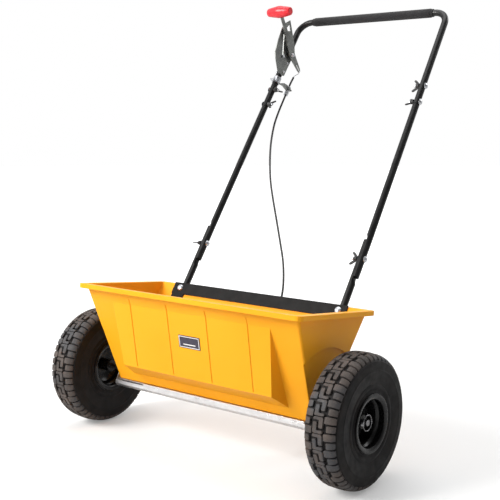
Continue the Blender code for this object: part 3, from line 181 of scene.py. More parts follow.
class Finish:
    """A node material around one Principled shader, with short calls for what repeats."""

    def __init__(self, name, colour, roughness, metallic=0.0, specular=0.5):
        self.material = bpy.data.materials.new(name)
        self.material.use_nodes = True
        self.tree = self.material.node_tree
        self.shader = self.tree.nodes["Principled BSDF"]
        self.shader.inputs["Base Color"].default_value = (*colour, 1)
        self.shader.inputs["Roughness"].default_value = roughness
        self.shader.inputs["Metallic"].default_value = metallic
        self.shader.inputs["Specular IOR Level"].default_value = specular
        self.place = self.add("ShaderNodeTexCoord").outputs["Object"]

    def add(self, kind, **settings):
        node = self.tree.nodes.new(kind)
        for key, value in settings.items():
            setattr(node, key, value)
        return node

    def link(self, source, target):
        self.tree.links.new(source, target)

    def noise(self, scale, detail=3.0, roughness=0.5, distortion=0.0, stretch=None):
        texture = self.add("ShaderNodeTexNoise")
        texture.inputs["Scale"].default_value = scale
        texture.inputs["Detail"].default_value = detail
        texture.inputs["Roughness"].default_value = roughness
        texture.inputs["Distortion"].default_value = distortion
        self.link(self.stretched(stretch), texture.inputs["Vector"])
        return texture.outputs["Fac"]

    def stretched(self, stretch):
        if not stretch:
            return self.place
        mapping = self.add("ShaderNodeMapping")
        mapping.inputs["Scale"].default_value = stretch
        self.link(self.place, mapping.inputs["Vector"])
        return mapping.outputs["Vector"]

    def cells(self, scale, output="Distance", stretch=None):
        texture = self.add("ShaderNodeTexVoronoi", feature="F1")
        texture.inputs["Scale"].default_value = scale
        self.link(self.stretched(stretch), texture.inputs["Vector"])
        return texture.outputs[output]

    def span(self, value, low, high, low_out=0.0, high_out=1.0):
        node = self.add("ShaderNodeMapRange")
        node.inputs["From Min"].default_value = low
        node.inputs["From Max"].default_value = high
        node.inputs["To Min"].default_value = low_out
        node.inputs["To Max"].default_value = high_out
        self.link(value, node.inputs["Value"])
        return node.outputs["Result"]

    def maths(self, operation, first, second):
        node = self.add("ShaderNodeMath", operation=operation)
        for value, socket in zip((first, second), node.inputs):
            if isinstance(value, (int, float)):
                socket.default_value = value
            else:
                self.link(value, socket)
        return node.outputs[0]

    def mixed(self, share, first, second):
        """Colour between two, each a colour or a socket, by a share."""
        node = self.add("ShaderNodeMix", data_type="RGBA")
        self.link(share, node.inputs[0])
        for value, socket in ((first, node.inputs[6]), (second, node.inputs[7])):
            if isinstance(value, tuple):
                socket.default_value = (*value, 1)
            else:
                self.link(value, socket)
        return node.outputs[2]

    def colour(self, source):
        self.link(source, self.shader.inputs["Base Color"])

    def roughness(self, source):
        self.link(source, self.shader.inputs["Roughness"])

    def relief(self, layers, edge=0.0):
        """Bump from (height, strength, distance) layers, over edges rounded in the shading."""
        normal = None
        if edge:
            bevel = self.add("ShaderNodeBevel", samples=6)
            bevel.inputs["Radius"].default_value = edge
            normal = bevel.outputs["Normal"]
        for height, strength, distance in layers:
            bump = self.add("ShaderNodeBump")
            bump.inputs["Strength"].default_value = strength
            bump.inputs["Distance"].default_value = distance
            self.link(height, bump.inputs["Height"])
            if normal:
                self.link(normal, bump.inputs["Normal"])
            normal = bump.outputs["Normal"]
        self.link(normal, self.shader.inputs["Normal"])

    def dust(self, base, colour, amount, scale=60.0):
        """Pale dust that has settled on faces turned up, broken up by noise."""
        split = self.add("ShaderNodeSeparateXYZ")
        self.link(self.add("ShaderNodeTexCoord").outputs["Normal"], split.inputs[0])
        facing_up = self.span(split.outputs["Z"], 0.1, 1.0)
        patches = self.span(self.noise(scale, 5.0, 0.65), 0.35, 0.75)
        share = self.maths("MULTIPLY", facing_up, patches)
        share = self.maths("MULTIPLY", share, amount)
        return self.mixed(share, base, colour)


def yellow_plastic():
    """Moulded polyethylene: a soft sheen, a fine leather-like grain, slight colour drift."""
    made = Finish("yellow_plastic_look", (0.90, 0.385, 0.013), 0.46, specular=0.13)
    drift = made.span(made.noise(5.0, 2.0), 0.3, 0.7)
    base = made.mixed(drift, (0.885, 0.372, 0.011), (0.925, 0.404, 0.015))
    speck = made.span(made.noise(420.0, 2.0), 0.66, 0.78, 0.0, 0.16)
    base = made.mixed(speck, base, (0.80, 0.28, 0.007))
    made.colour(made.dust(base, (0.88, 0.50, 0.12), 0.05))
    made.roughness(made.span(made.noise(14.0, 4.0, 0.6), 0.3, 0.7, 0.36, 0.47))
    grain = made.noise(900.0, 2.0)
    sink = made.noise(9.0, 1.0)
    made.relief([(sink, 0.12, 0.004), (grain, 0.10, 0.0003)], 0.0016)
    made.shader.inputs["Subsurface Weight"].default_value = 0.06
    made.shader.inputs["Subsurface Radius"].default_value = (0.012, 0.006, 0.002)
    made.shader.inputs["Subsurface Scale"].default_value = 0.4
    return made.material


def coated(name, colour, roughness, grain, coat, specular):
    """Paint or powder coat over steel, with its orange peel and a little dust."""
    made = Finish(name, colour, roughness, specular=specular)
    lifted = tuple(part * 1.6 + 0.003 for part in colour)
    worn = made.span(made.noise(38.0, 5.0, 0.6), 0.45, 0.8)
    base = made.mixed(worn, colour, lifted)
    made.colour(made.dust(base, (0.10, 0.085, 0.07), 0.03, 120.0))
    made.roughness(made.span(made.noise(55.0, 4.0), 0.3, 0.7, roughness - 0.06, roughness + 0.08))
    made.relief([(made.noise(520.0, 2.0), grain, 0.0004)], 0.0005)
    made.shader.inputs["Coat Weight"].default_value = coat
    made.shader.inputs["Coat Roughness"].default_value = 0.08
    return made.material


def plated(name, colour, tint, roughness, spangle=0.0):
    """Zinc plate or galvanising: metal with a drifting tint and, where asked, spangle cells."""
    made = Finish(name, colour, roughness, 1.0)
    base = made.mixed(made.span(made.noise(70.0, 4.0), 0.35, 0.7), colour, tint)
    rough = made.span(made.noise(190.0, 4.0), 0.3, 0.7, roughness - 0.07, roughness + 0.08)
    if spangle:
        cell = made.cells(spangle, output="Color", stretch=(0.6, 1, 1))
        share = made.span(cell, 0.2, 0.8, 0.0, 0.35)
        base = made.mixed(share, base, tuple(part * 1.18 for part in colour))
        rough = made.maths("ADD", rough, made.span(cell, 0.0, 1.0, -0.05, 0.05))
    stain = made.span(made.noise(26.0, 6.0, 0.7), 0.62, 0.85, 0.0, 0.14)
    made.colour(made.mixed(stain, base, (0.30, 0.26, 0.21)))
    made.roughness(rough)
    scratches = made.noise(240.0, 2.0, stretch=(0.08, 1, 1))
    made.relief([(scratches, 0.08, 0.0004)], 0.0004)
    return made.material


def tyre_rubber():
    """Smooth sidewall rubber with faint mould rings, a brown bloom and scuffs."""
    made = Finish("tyre_rubber_look", (0.012, 0.011, 0.011), 0.62, specular=0.17)
    bloom = made.span(made.noise(16.0, 5.0, 0.65), 0.42, 0.75)
    base = made.mixed(bloom, (0.0072, 0.0068, 0.0072), (0.0155, 0.0122, 0.0110))
    scuff = made.span(made.noise(90.0, 6.0, 0.7), 0.6, 0.8, 0.0, 0.4)
    base = made.mixed(scuff, base, (0.034, 0.028, 0.025))
    made.colour(made.dust(base, (0.060, 0.048, 0.040), 0.16, 40.0))
    made.roughness(made.span(made.noise(60.0, 4.0), 0.3, 0.7, 0.50, 0.70))
    made.relief([(made.noise(700.0, 3.0), 0.16, 0.0004)], 0.0006)
    return made.material


def tread_rubber():
    """The tread blocks' rubber: the same, greyed and dusty on its worn faces."""
    made = Finish("tread_rubber_look", (0.05, 0.045, 0.042), 0.74, specular=0.45)
    patch = made.span(made.noise(24.0, 4.0, 0.6), 0.35, 0.68)
    base = made.mixed(patch, (0.042, 0.036, 0.034), (0.092, 0.072, 0.063))
    cool = made.span(made.noise(13.0, 2.0), 0.50, 0.62)
    base = made.mixed(cool, base, (0.050, 0.050, 0.054))
    grit = made.span(made.noise(420.0, 3.0), 0.55, 0.75, 0.0, 0.55)
    made.colour(made.mixed(grit, base, (0.135, 0.108, 0.090)))
    made.roughness(made.span(made.noise(150.0, 4.0), 0.3, 0.7, 0.62, 0.84))
    made.relief([(made.noise(480.0, 4.0), 0.28, 0.0006)], 0.0005)
    return made.material


def foam():
    """Closed-cell foam: matt, with fine open pores."""
    made = Finish("foam_look", (0.017, 0.017, 0.019), 0.88, specular=0.25)
    pore = made.cells(1300.0)
    base = made.mixed(made.span(pore, 0.1, 0.6), (0.010, 0.010, 0.011), (0.026, 0.026, 0.028))
    made.colour(made.dust(base, (0.10, 0.09, 0.08), 0.15, 150.0))
    made.roughness(made.span(made.noise(80.0, 3.0), 0.3, 0.7, 0.80, 0.94))
    made.relief([(pore, 0.30, 0.0005), (made.noise(160.0, 3.0), 0.15, 0.0006)])
    made.shader.inputs["Sheen Weight"].default_value = 0.12
    made.shader.inputs["Sheen Roughness"].default_value = 0.5
    return made.material


def red_plastic():
    """Glossy moulded red plastic with faint flow marks and handling wear."""
    made = Finish("red_plastic_look", (0.72, 0.014, 0.026), 0.34)
    drift = made.span(made.noise(60.0, 3.0, distortion=0.6), 0.35, 0.7)
    base = made.mixed(drift, (0.73, 0.013, 0.028), (0.80, 0.026, 0.036))
    wear = made.span(made.noise(340.0, 5.0, 0.7), 0.64, 0.8, 0.0, 0.3)
    made.colour(made.mixed(wear, base, (0.86, 0.10, 0.09)))
    made.roughness(made.span(made.noise(110.0, 4.0), 0.3, 0.7, 0.28, 0.42))
    made.relief([(made.noise(620.0, 3.0), 0.08, 0.0004)], 0.0008)
    return made.material


def black_plastic():
    """Plain black moulded plastic or cable sheath."""
    made = Finish("black_plastic_look", (0.013, 0.013, 0.014), 0.50)
    drift = made.span(made.noise(90.0, 4.0), 0.4, 0.75)
    made.colour(made.mixed(drift, (0.011, 0.011, 0.012), (0.026, 0.025, 0.025)))
    made.roughness(made.span(made.noise(130.0, 3.0), 0.3, 0.7, 0.42, 0.58))
    made.relief([(made.noise(800.0, 2.0), 0.10, 0.0003)], 0.0004)
    return made.material


def printed(name, colour, roughness=0.36):
    """One ink of the label, on a slightly textured film."""
    made = Finish(name, colour, roughness)
    drift = made.span(made.noise(120.0, 3.0), 0.35, 0.7)
    made.colour(made.mixed(drift, colour, tuple(min(1, part * 1.15 + 0.01) for part in colour)))
    made.relief([(made.noise(1500.0, 2.0), 0.05, 0.0002)])
    return made.material


def make_looks():
    return {
        "yellow_plastic": yellow_plastic(),
        "black_paint": coated("black_paint_look", (0.0035, 0.0035, 0.0039), 0.36, 0.08, 0.06, 0.32),
        "plate_paint": coated("plate_paint_look", (0.0030, 0.0028, 0.0029), 0.50, 0.08, 0.0, 0.14),
        "zinc_steel": plated("zinc_steel_look", (0.62, 0.63, 0.65), (0.50, 0.52, 0.56), 0.30),
        # Painted shade: a darker copy of the zinc plate, for the pins and axle ends that sit in the
        # wheels' dark hollows
        "shade_darkened_steel": plated(
            "tarnished_steel_look", (0.30, 0.30, 0.31), (0.18, 0.17, 0.17), 0.36
        ),
        "galvanised": plated("galvanised_look", (0.70, 0.70, 0.71), (0.60, 0.59, 0.60), 0.34, 90.0),
        "grey_steel": plated("grey_steel_look", (0.175, 0.18, 0.175), (0.24, 0.25, 0.235), 0.42),
        "tyre_rubber": tyre_rubber(),
        "tread_rubber": tread_rubber(),
        "rim_paint": coated("rim_paint_look", (0.0040, 0.0038, 0.0040), 0.26, 0.12, 0.12, 0.20),
        "foam": foam(),
        "red_plastic": red_plastic(),
        "label": printed("label_ink_look", (0.022, 0.018, 0.040)),
        "label_border": printed("label_border_look", (0.90, 0.89, 0.86)),
        "black_plastic": black_plastic(),
    }


# ---- shapes


def piece(name, bm, look, sharp=35.0):
    """An object from a bmesh: faces out, smooth but for edges sharper than an angle."""
    bmesh.ops.remove_doubles(bm, verts=bm.verts, dist=1e-6)
    bmesh.ops.recalc_face_normals(bm, faces=bm.faces)
    mesh = bpy.data.meshes.new(name)
    bm.to_mesh(mesh)
    bm.free()
    mesh.shade_smooth()
    mesh.set_sharp_from_angle(angle=math.radians(sharp))
    made = bpy.data.objects.new(name, mesh)
    bpy.context.scene.collection.objects.link(made)
    mesh.materials.append(look)
    return made


def loft(bm, rings, closed=False):
    """Faces between rings of as many points each; capped unless the last ring joins the first."""
    rows = [[bm.verts.new(point) for point in ring] for ring in rings]
    pairs = list(zip(rows, rows[1:]))
    if closed:
        pairs.append((rows[-1], rows[0]))
    count = len(rows[0])
    for low, high in pairs:
        for k in range(count):
            after = (k + 1) % count
            bm.faces.new((low[k], low[after], high[after], high[k]))
    if not closed:
        bm.faces.new(rows[0])
        bm.faces.new(rows[-1])


def turned(bm, profile, steps, place=Matrix(), axis="X"):
    """A closed body round an axis from (along, radius) points; radius 0 closes on the axis."""
    open_ends = profile[0][1] == 0 and profile[-1][1] == 0
    points = profile[1:-1] if open_ends else profile
    rings = []
    for along, radius in points:
        ring = []
        for k in range(steps):
            angle = 2 * math.pi * k / steps
            across, up = radius * math.cos(angle), radius * math.sin(angle)
            spot = (along, across, up) if axis == "X" else (across, up, along)
            ring.append(place @ Vector(spot))
        rings.append(ring)
    loft(bm, rings, closed=not open_ends)


def frames_along(path):
    """A (point, side, up) at each point of a path, turning as little as it can."""
    found = []
    side = None
    for k, point in enumerate(path):
        before, after = path[max(0, k - 1)], path[min(len(path) - 1, k + 1)]
        ahead = (after - before).normalized()
        if side is None:
            side = ahead.orthogonal().normalized()
        side = (side - ahead * side.dot(ahead)).normalized()
        found.append((point, side, ahead.cross(side)))
    return found


def swept(bm, path, radius, steps, bore=None):
    """A round rod along a path. With a bore it is a tube, open at both ends."""
    outer, inner = [], []
    for point, side, up in frames_along(path):
        for rings, size in ((outer, radius), (inner, bore)):
            if size is None:
                continue
            ring = []
            for j in range(steps):
                angle = 2 * math.pi * j / steps
                ring.append(point + size * (math.cos(angle) * side + math.sin(angle) * up))
            rings.append(ring)
    loft(bm, outer + inner[::-1], closed=bore is not None)


def smooth_through(points, steps):
    """Points on a Catmull-Rom curve through a route's own points."""
    known = [Vector(point) for point in points]
    ends = [2 * known[0] - known[1], *known, 2 * known[-1] - known[-2]]
    found = []
    for k in range(1, len(ends) - 2):
        a, b, c, d = ends[k - 1 : k + 3]
        for j in range(steps):
            s = j / steps
            found.append(
                0.5 * (2 * b + (c - a) * s + (2 * a - 5 * b + 4 * c - d) * s * s
                       + (3 * b - a - 3 * c + d) * s**3)
            )
    found.append(known[-1])
    return found


def stands_for(made, node):
    """A piece rides on its CAD node's body and is shown in its place."""
    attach(made, BODY_OF[node])
    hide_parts(node)


def refined(node, look, edge=0.0, sharp=35.0):
    """The CAD node's own shape with smooth shading and, with an edge, really rounded edges."""
    bm = bmesh.new()
    bm.from_mesh(frame["nodes"][node].data)
    bmesh.ops.remove_doubles(bm, verts=bm.verts, dist=1e-5)
    bmesh.ops.dissolve_limit(
        bm, angle_limit=math.radians(0.5), verts=bm.verts, edges=bm.edges
    )
    made = piece(f"{node}_look", bm, look, sharp)
    if edge:
        rounding = made.modifiers.new("rounded_edges", "BEVEL")
        rounding.width = edge
        rounding.segments = 2
        rounding.limit_method = "ANGLE"
        rounding.angle_limit = math.radians(sharp)
        rounding.harden_normals = True
    flatter = made.modifiers.new("flat_faces_flat", "WEIGHTED_NORMAL")
    flatter.weight = 90
    flatter.keep_sharp = True
    stands_for(made, node)


# ---- wheels


def crown(x):
    """The tread's radius at a distance from the tyre's middle."""
    reach = abs(x)
    for (x0, drop0), (x1, drop1) in zip(CROWN_DROPS, CROWN_DROPS[1:]):
        if reach <= x1:
            return WHEEL_RADIUS - drop0 - (drop1 - drop0) * (reach - x0) / (x1 - x0)
    return WHEEL_RADIUS - CROWN_DROPS[-1][1]


def inset(outline, distance):
    """The outline's points moved inwards; the outline runs counterclockwise."""
    found = []
    for k, here in enumerate(outline):
        before, after = outline[k - 1], outline[(k + 1) % len(outline)]
        into = Vector(here) - Vector(before)
        out = Vector(after) - Vector(here)
        normals = [Vector((-edge.y, edge.x)).normalized() for edge in (into, out)]
        middle = normals[0] + normals[1]
        if middle.length < 1e-6:
            middle = normals[0]
        middle.normalize()
        found.append(Vector(here) + middle * distance / max(0.5, middle.dot(normals[0])))
    return found


def tread_block(bm, outline, angle, flip):
    """One raised block: an outline in (across, round the tread), bent onto the crown."""
    points = [Vector((across * flip, along * flip)) for across, along in outline]
    top = inset(points, BLOCK_BEVEL)
    levels = [(points, -TREAD_DEPTH - BLOCK_ROOT), (points, -BLOCK_EDGE), (top, 0.0)]
    rings = []
    for ring, rise in levels:
        placed = []
        for across, along in ring:
            radius = crown(across) + rise
            turn = angle + along / WHEEL_RADIUS
            placed.append(Vector((across, -radius * math.cos(turn), radius * math.sin(turn))))
        rings.append(placed)
    loft(bm, rings)


def hook_outline(pitch):
    """A hook-shaped block of the middle column: a bar across, with a leg down its right side."""
    bar, leg = 0.185 * pitch, 0.0090
    low = TREAD_GAP / 2
    top = low + bar
    foot = low - 0.46 * pitch
    side = TREAD_MIDDLE
    return [
        (-side, low + 0.0012),
        (-side + 0.0012, low),
        (side - leg - 0.0008, low),
        (side - leg, low - 0.0012),
        (side - leg, foot + 0.0020),
        (side - leg + 0.0016, foot),
        (side - 0.0014, foot),
        (side, foot + 0.0014),
        (side, top - 0.0024),
        (side - 0.0022, top),
        (-side + 0.0022, top),
        (-side, top - 0.0018),
    ]


def shoulder_block(bm, inner, angle, half_length, side):
    """One block of the tread's edge, from its inner end over the round shoulder."""
    stops = 6
    rings = []
    for k in range(stops + 1):
        across = inner + (TREAD_EDGE - inner) * k / stops
        shrink = BLOCK_EDGE if k in (0, stops) else 0.0
        root, edge, face = TREAD_DEPTH + BLOCK_ROOT, BLOCK_EDGE + shrink, shrink
        ring = []
        for share, depth in ((-1, root), (-1, edge), (-0.9, face), (0.9, face), (1, edge), (1, root)):
            radius = crown(across) - depth
            turn = angle + share * (half_length - shrink) / WHEEL_RADIUS
            ring.append(Vector((side * across, -radius * math.cos(turn), radius * math.sin(turn))))
        rings.append(ring)
    loft(bm, rings)


def make_tread(bm):
    """A middle column of interlocking hooks, and on each side long and short shoulder blocks."""
    step = 2 * math.pi / TREAD_PITCHES
    pitch = WHEEL_RADIUS * step
    half_length = (pitch / 2 - TREAD_GAP) / 2
    start = TREAD_MIDDLE + TREAD_GAP * 0.85
    hook = hook_outline(pitch)
    for k in range(TREAD_PITCHES):
        tread_block(bm, hook, k * step, 1)
        tread_block(bm, hook, (k - 0.5) * step, -1)
        for side, offset in ((-1, 0.40), (1, 0.10)):
            angle = (k + offset) * step
            shoulder_block(bm, start, angle, half_length, side)
            shoulder_block(bm, start + SHORT_BY, angle + step / 2, half_length * 0.92, side)


def tyre_profile():
    """The carcass's half section from the middle of the tread to the bead: (along, radius)."""
    base = TREAD_DEPTH
    outer = [
        (0.0150, crown(0.0150) - base),
        (0.0240, crown(0.0240) - base),
        (0.0300, crown(0.0300) - base),
        (0.0322, crown(0.0322) - base),
        (0.0346, crown(0.0346) - 0.0016),  # the step up to the smooth shoulder
        (0.0358, crown(0.0358)),
        (0.0366, 0.1160),
        (0.0372, 0.1115),
        (0.0377, 0.1070),
        (0.0379, 0.1048),
        (0.0384, 0.1041),  # the rib where the sidewall starts
        (0.0387, 0.1025),
        (0.0383, 0.1011),
        (0.0380, 0.0965),
        (0.0371, 0.0900),
        (0.0360, 0.0840),
        (0.0349, 0.0790),
        (0.0344, 0.0765),
        (0.0352, 0.0752),  # the raised ring over the rim
        (0.0358, 0.0728),
        (0.0356, 0.0702),
        (0.0346, 0.0680),
        (0.0332, 0.0662),
        (0.0326, 0.0640),
        (0.0330, 0.0615),
        (0.0345, 0.0596),
        (0.0348, 0.0585),
        (0.0345, 0.0505),
    ]
    inner = [
        (0.0235, 0.0503),
        (0.0235, 0.0580),
        (0.0265, 0.0700),
        (0.0300, 0.0900),
        (0.0300, 0.1070),
        (0.0235, 0.1190),
    ]
    right = [(0, crown(0) - base), *outer, *inner, (0, 0.1225)]
    left = [(-along, radius) for along, radius in (outer + inner)][::-1]
    return right + left


def make_tyre(word, x, looks):
    place = Matrix.Translation((x, AXLE.y, AXLE.z))
    bm = bmesh.new()
    turned(bm, tyre_profile(), WHEEL_STEPS)
    carcass = len(bm.faces)
    make_tread(bm)
    for number, face in enumerate(list(bm.faces)):
        face.material_index = 0 if number < carcass else 1
    bmesh.ops.transform(bm, matrix=place, verts=bm.verts)
    tyre = piece(f"tyre_{word}_look", bm, looks["tyre_rubber"], 30.0)
    tyre.data.materials.append(looks["tread_rubber"])
    stands_for(tyre, f"tyre_{word}")


def rounded_lip(centre_along, centre_radius, size, start, end, steps):
    """Points of an arc in a section, for the rim's rolled edge."""
    found = []
    for k in range(steps + 1):
        angle = math.radians(start + (end - start) * k / steps)
        along = centre_along + size * math.cos(angle)
        found.append((along, centre_radius + size * math.sin(angle)))
    return found


def rim_profile():
    """The rim's section with its dish facing +X, from the outer face round to the inner one."""
    lip = rounded_lip(0.0369, 0.0568, 0.0019, 0, 160, 8)
    seat = [
        (0.0352, 0.0560),
        (0.0350, 0.0506),
        (0.0340, 0.0499),
        (0.0240, 0.0498),
        (0.0222, 0.0478),
        (0.0190, 0.0452),
        (0.0170, 0.0448),
    ]
    tyre_side = lip + seat
    tyre_side += [(-along, radius) for along, radius in tyre_side[::-1]]
    bore = AXLE_RADIUS + 0.0003
    inside = [
        (-0.0388, 0.0553),
        (-0.0378, 0.0505),
        (-0.0360, 0.0478),
        (-0.0245, 0.0473),
        (-0.0225, 0.0452),
        (-0.0200, 0.0427),
        (-0.0185, 0.0422),
        (-0.0085, 0.0422),
        (-0.0062, 0.0400),
        (-0.0020, 0.0300),
        (0.0000, 0.0215),
        (0.0000, HUB_RADIUS),
        (-0.0322, HUB_RADIUS),
        (-0.0330, HUB_RADIUS - 0.0008),
        (-0.0330, bore),
        (HUB_END, bore),
        (HUB_END, HUB_RADIUS - 0.0008),
        (HUB_END - 0.0008, HUB_RADIUS),
        (0.0046, HUB_RADIUS),  # the weld's fillet
        (0.0034, HUB_RADIUS + 0.0010),
        (0.0030, HUB_RADIUS + 0.0028),
        (0.0030, 0.0222),
        (0.0022, 0.0262),
        (0.0032, 0.0282),  # a stiffening ring pressed into the disc
        (0.0030, 0.0302),
        (-0.0004, 0.0330),
        (-0.0032, 0.0390),
        (-0.0040, 0.0415),
        (-0.0022, 0.0422),
        (0.0185, 0.0422),
        (0.0200, 0.0427),
        (0.0225, 0.0452),
        (0.0245, 0.0473),
        (0.0360, 0.0478),
        (0.0378, 0.0505),
        (0.0388, 0.0553),
    ]
    return tyre_side + inside


def make_rim(word, side, looks):
    bm = bmesh.new()
    profile = [(side * along, radius) for along, radius in rim_profile()]
    turned(bm, profile, WHEEL_STEPS, Matrix.Translation((side * WHEEL_X, AXLE.y, AXLE.z)))
    stands_for(piece(f"rim_{word}_look", bm, looks["rim_paint"], 40.0), f"rim_{word}")


def make_valve(word, side, looks):
    """The valve stem inside the rim, with its cap."""
    bm = bmesh.new()
    profile = [
        (0.0470, 0),
        (0.0470, 0.0050),
        (0.0452, 0.0055),
        (0.0452, 0.0032),
        (0.0320, 0.0031),
        (0.0316, 0.0037),
        (0.0245, 0.0037),
        (0.0235, 0.0032),
        (0.0225, 0.0020),
        (0.0225, 0),
    ]
    place = Matrix.Translation((side * (WHEEL_X + VALVE_OUT), AXLE.y, AXLE.z))
    turned(bm, profile, 28, place, "Z")
    made = piece(f"tyre_valve_{word}_look", bm, looks["black_plastic"])
    stands_for(made, f"tyre_valve_{word}")


def make_lynch_pin(word, side, looks):
    """The pin through the axle's end, its ball head to the front, and its spring ring."""
    place = Matrix.Translation((side * LYNCH_X, AXLE.y, AXLE.z))
    bm = bmesh.new()
    profile = [
        (0.0200, 0),
        (0.0196, 0.0018),
        (0.0182, 0.0036),
        (0.0164, 0.0046),
        (0.0146, 0.0048),
        (0.0124, 0.0042),
        (0.0108, 0.0032),
        (0.0100, 0.0025),
        (-0.0150, 0.0025),
        (-0.0164, 0.0016),
        (-0.0170, 0),
    ]
    turned(bm, profile, 28, place @ Matrix.Rotation(math.radians(90), 4, "X"), "Z")
    ring = []
    for k in range(12):
        angle = 2 * math.pi * k / 12
        along = side * LYNCH_RING_OUT + LYNCH_WIRE * math.cos(angle)
        ring.append((along, LYNCH_RING + LYNCH_WIRE * math.sin(angle)))
    turned(bm, ring, 64, place)
    # The pin takes the zinc plate darkened as painted shade
    made = piece(f"lynch_pin_{word}_look", bm, looks["shade_darkened_steel"])
    stands_for(made, f"lynch_pin_{word}")


def make_wheels(looks):
    for word, side in (("left", -1), ("right", 1)):
        make_tyre(word, side * WHEEL_X, looks)
        make_rim(word, side, looks)
        make_valve(word, side, looks)
        make_lynch_pin(word, side, looks)
    # The axle's end takes the zinc plate darkened as painted shade
    refined("agitator_axle", looks["shade_darkened_steel"])


# ---- tubes


def leg_x(side, t):
    """The middle of a handle leg, which leans towards the machine's middle above the lap."""
    rise = max(0, t - FOLD_T - LAP_REACH)
    return side * (TUBE_X - TAPER * rise) + LAP_SHIFT


def on_tubes(x, t, forward=0.0):
    return TUBES @ Vector((x, -forward, t))


def make_push_bar(looks):
    """The U-shaped upper bar with round bends."""
    bend_t = BAR_T - BEND_RADIUS
    points = [Vector((leg_x(-1, t), 0, t)) for t in (UPPER_START, bend_t - BEND_LEAD)]
    for side, start in ((-1, 180), (1, 90)):
        centre = leg_x(side, bend_t) - side * BEND_RADIUS
        for k in range(BEND_STEPS + 1):
            angle = math.radians(start - 90 * k / BEND_STEPS)
            across = centre + BEND_RADIUS * math.cos(angle)
            points.append(Vector((across, 0, bend_t + BEND_RADIUS * math.sin(angle))))
    points += [Vector((leg_x(1, t), 0, t)) for t in (bend_t - BEND_LEAD, UPPER_START)]
    bm = bmesh.new()
    swept(bm, points, TUBE_RADIUS, TUBE_STEPS, TUBE_RADIUS - TUBE_WALL)
    bmesh.ops.transform(bm, matrix=TUBES, verts=bm.verts)
    stands_for(piece("push_bar_look", bm, looks["black_paint"]), "push_bar")


def make_grip(looks):
    """The foam sleeve, with thin collars at its ends."""
    half = [
        (-GRIP_HALF, GRIP_COLLAR - 0.0006),
        (-GRIP_HALF + 0.0008, GRIP_COLLAR),
        (-GRIP_HALF + 0.0058, GRIP_COLLAR),
        (-GRIP_HALF + 0.0062, GRIP_RADIUS - 0.0006),
        (-GRIP_HALF + 0.0075, GRIP_RADIUS),
    ]
    reach = GRIP_HALF - 0.02
    middle = [(-reach + 2 * reach * k / GRIP_RINGS, GRIP_RADIUS) for k in range(GRIP_RINGS + 1)]
    profile = half + middle + [(-along, radius) for along, radius in half[::-1]]
    bore = TUBE_RADIUS + 0.0002
    profile = [(-GRIP_HALF, bore), *profile, (GRIP_HALF, bore)]
    bm = bmesh.new()
    turned(bm, profile, 48, TUBES @ Matrix.Translation((LAP_SHIFT, 0, BAR_T)))
    stands_for(piece("foam_grip_look", bm, looks["foam"]), "foam_grip")


# ---- control


def make_knob(looks):
    """The lever's double-cone knob, moulded with rounded ends and a ring at its waist."""
    profile = [
        (-KNOB_LENGTH / 2, 0),
        (-KNOB_LENGTH / 2, 0.0080),
        (-KNOB_LENGTH / 2 + 0.0006, 0.0094),
        (-KNOB_LENGTH / 2 + 0.0022, 0.0105),
        (-0.0200, 0.0128),
        (-0.0060, 0.0150),
        (-0.0030, KNOB_RADIUS),
        (0.0030, KNOB_RADIUS),
        (0.0060, 0.0150),
        (0.0200, 0.0128),
        (KNOB_LENGTH / 2 - 0.0022, 0.0105),
        (KNOB_LENGTH / 2 - 0.0006, 0.0094),
        (KNOB_LENGTH / 2, 0.0080),
        (KNOB_LENGTH / 2 - 0.0012, 0.0072),
        (KNOB_LENGTH / 2 - 0.0012, 0),
    ]
    place = TUBES @ Matrix.Translation((KNOB_X, -LEVER_TIP[1], LEVER_TIP[0]))
    bm = bmesh.new()
    turned(bm, profile, 48, place)
    stands_for(piece("lever_knob_look", bm, looks["red_plastic"]), "lever_knob")


def bending(node, look):
    """A bare wire in its CAD node's shape, smooth shaded and fixed where it stands, on no body."""
    bm = bmesh.new()
    bm.from_mesh(frame["nodes"][node].data)
    bmesh.ops.remove_doubles(bm, verts=bm.verts, dist=1e-5)
    wire = piece(f"{node}_look", bm, look)
    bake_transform(wire)
    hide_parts(node)


def make_cables(looks):
    """The sheath along its route, and the bare wire at each end."""
    route = [on_tubes(x, t, forward) for x, t, forward in SHEATH_ROUTE]
    bm = bmesh.new()
    swept(bm, smooth_through(route, 6), CABLE_RADIUS, 20)
    sheath = piece("cable_sheath_look", bm, looks["black_plastic"])
    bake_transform(sheath)
    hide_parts("cable_sheath")
    bending("cable_wire_upper", looks["zinc_steel"])
    bending("cable_wire_lower", looks["zinc_steel"])


# ---- hopper


def make_label(looks):
    """A plain plate with a pale border line and one pale rule, raised a hair off the plate."""
    refined("name_plate", looks["label"])
    low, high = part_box("name_plate")
    width, slope = high.x - low.x, Vector((0, low.y - high.y, high.z - low.z))
    up = slope.normalized()
    out = Vector((0, -up.z, up.y))
    surface = (low + high) / 2 + out * LABEL_FACE
    bm = bmesh.new()

    def bar(across, above, half_width, half_height):
        rings = []
        for depth in (LABEL_UNDER, LABEL_OVER):
            ring = []
            for sx, sy in ((-1, -1), (1, -1), (1, 1), (-1, 1)):
                spot = surface + Vector((across + sx * half_width, 0, 0))
                ring.append(spot + up * (above + sy * half_height) + out * depth)
            rings.append(ring)
        loft(bm, rings)

    inner_w, inner_h = width / 2 - LABEL_MARGIN, slope.length / 2 - LABEL_MARGIN
    for side in (-1, 1):
        bar(side * inner_w, 0, LABEL_LINE, inner_h + LABEL_LINE)
        bar(0, side * inner_h, inner_w - LABEL_LINE, LABEL_LINE)
    bar(0, -inner_h * 0.45, inner_w * 0.62, LABEL_LINE * 1.5)
    border = piece("label_border_look", bm, looks["label_border"])
    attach(border, "hopper_body")


def make_hopper(looks):
    refined("hopper", looks["yellow_plastic"], edge=HOPPER_EDGE, sharp=HOPPER_SHARP)
    make_label(looks)
    refined("bottom_channel", looks["galvanised"])
    refined("shutter_plate", looks["galvanised"])
    refined("cross_plate", looks["plate_paint"])


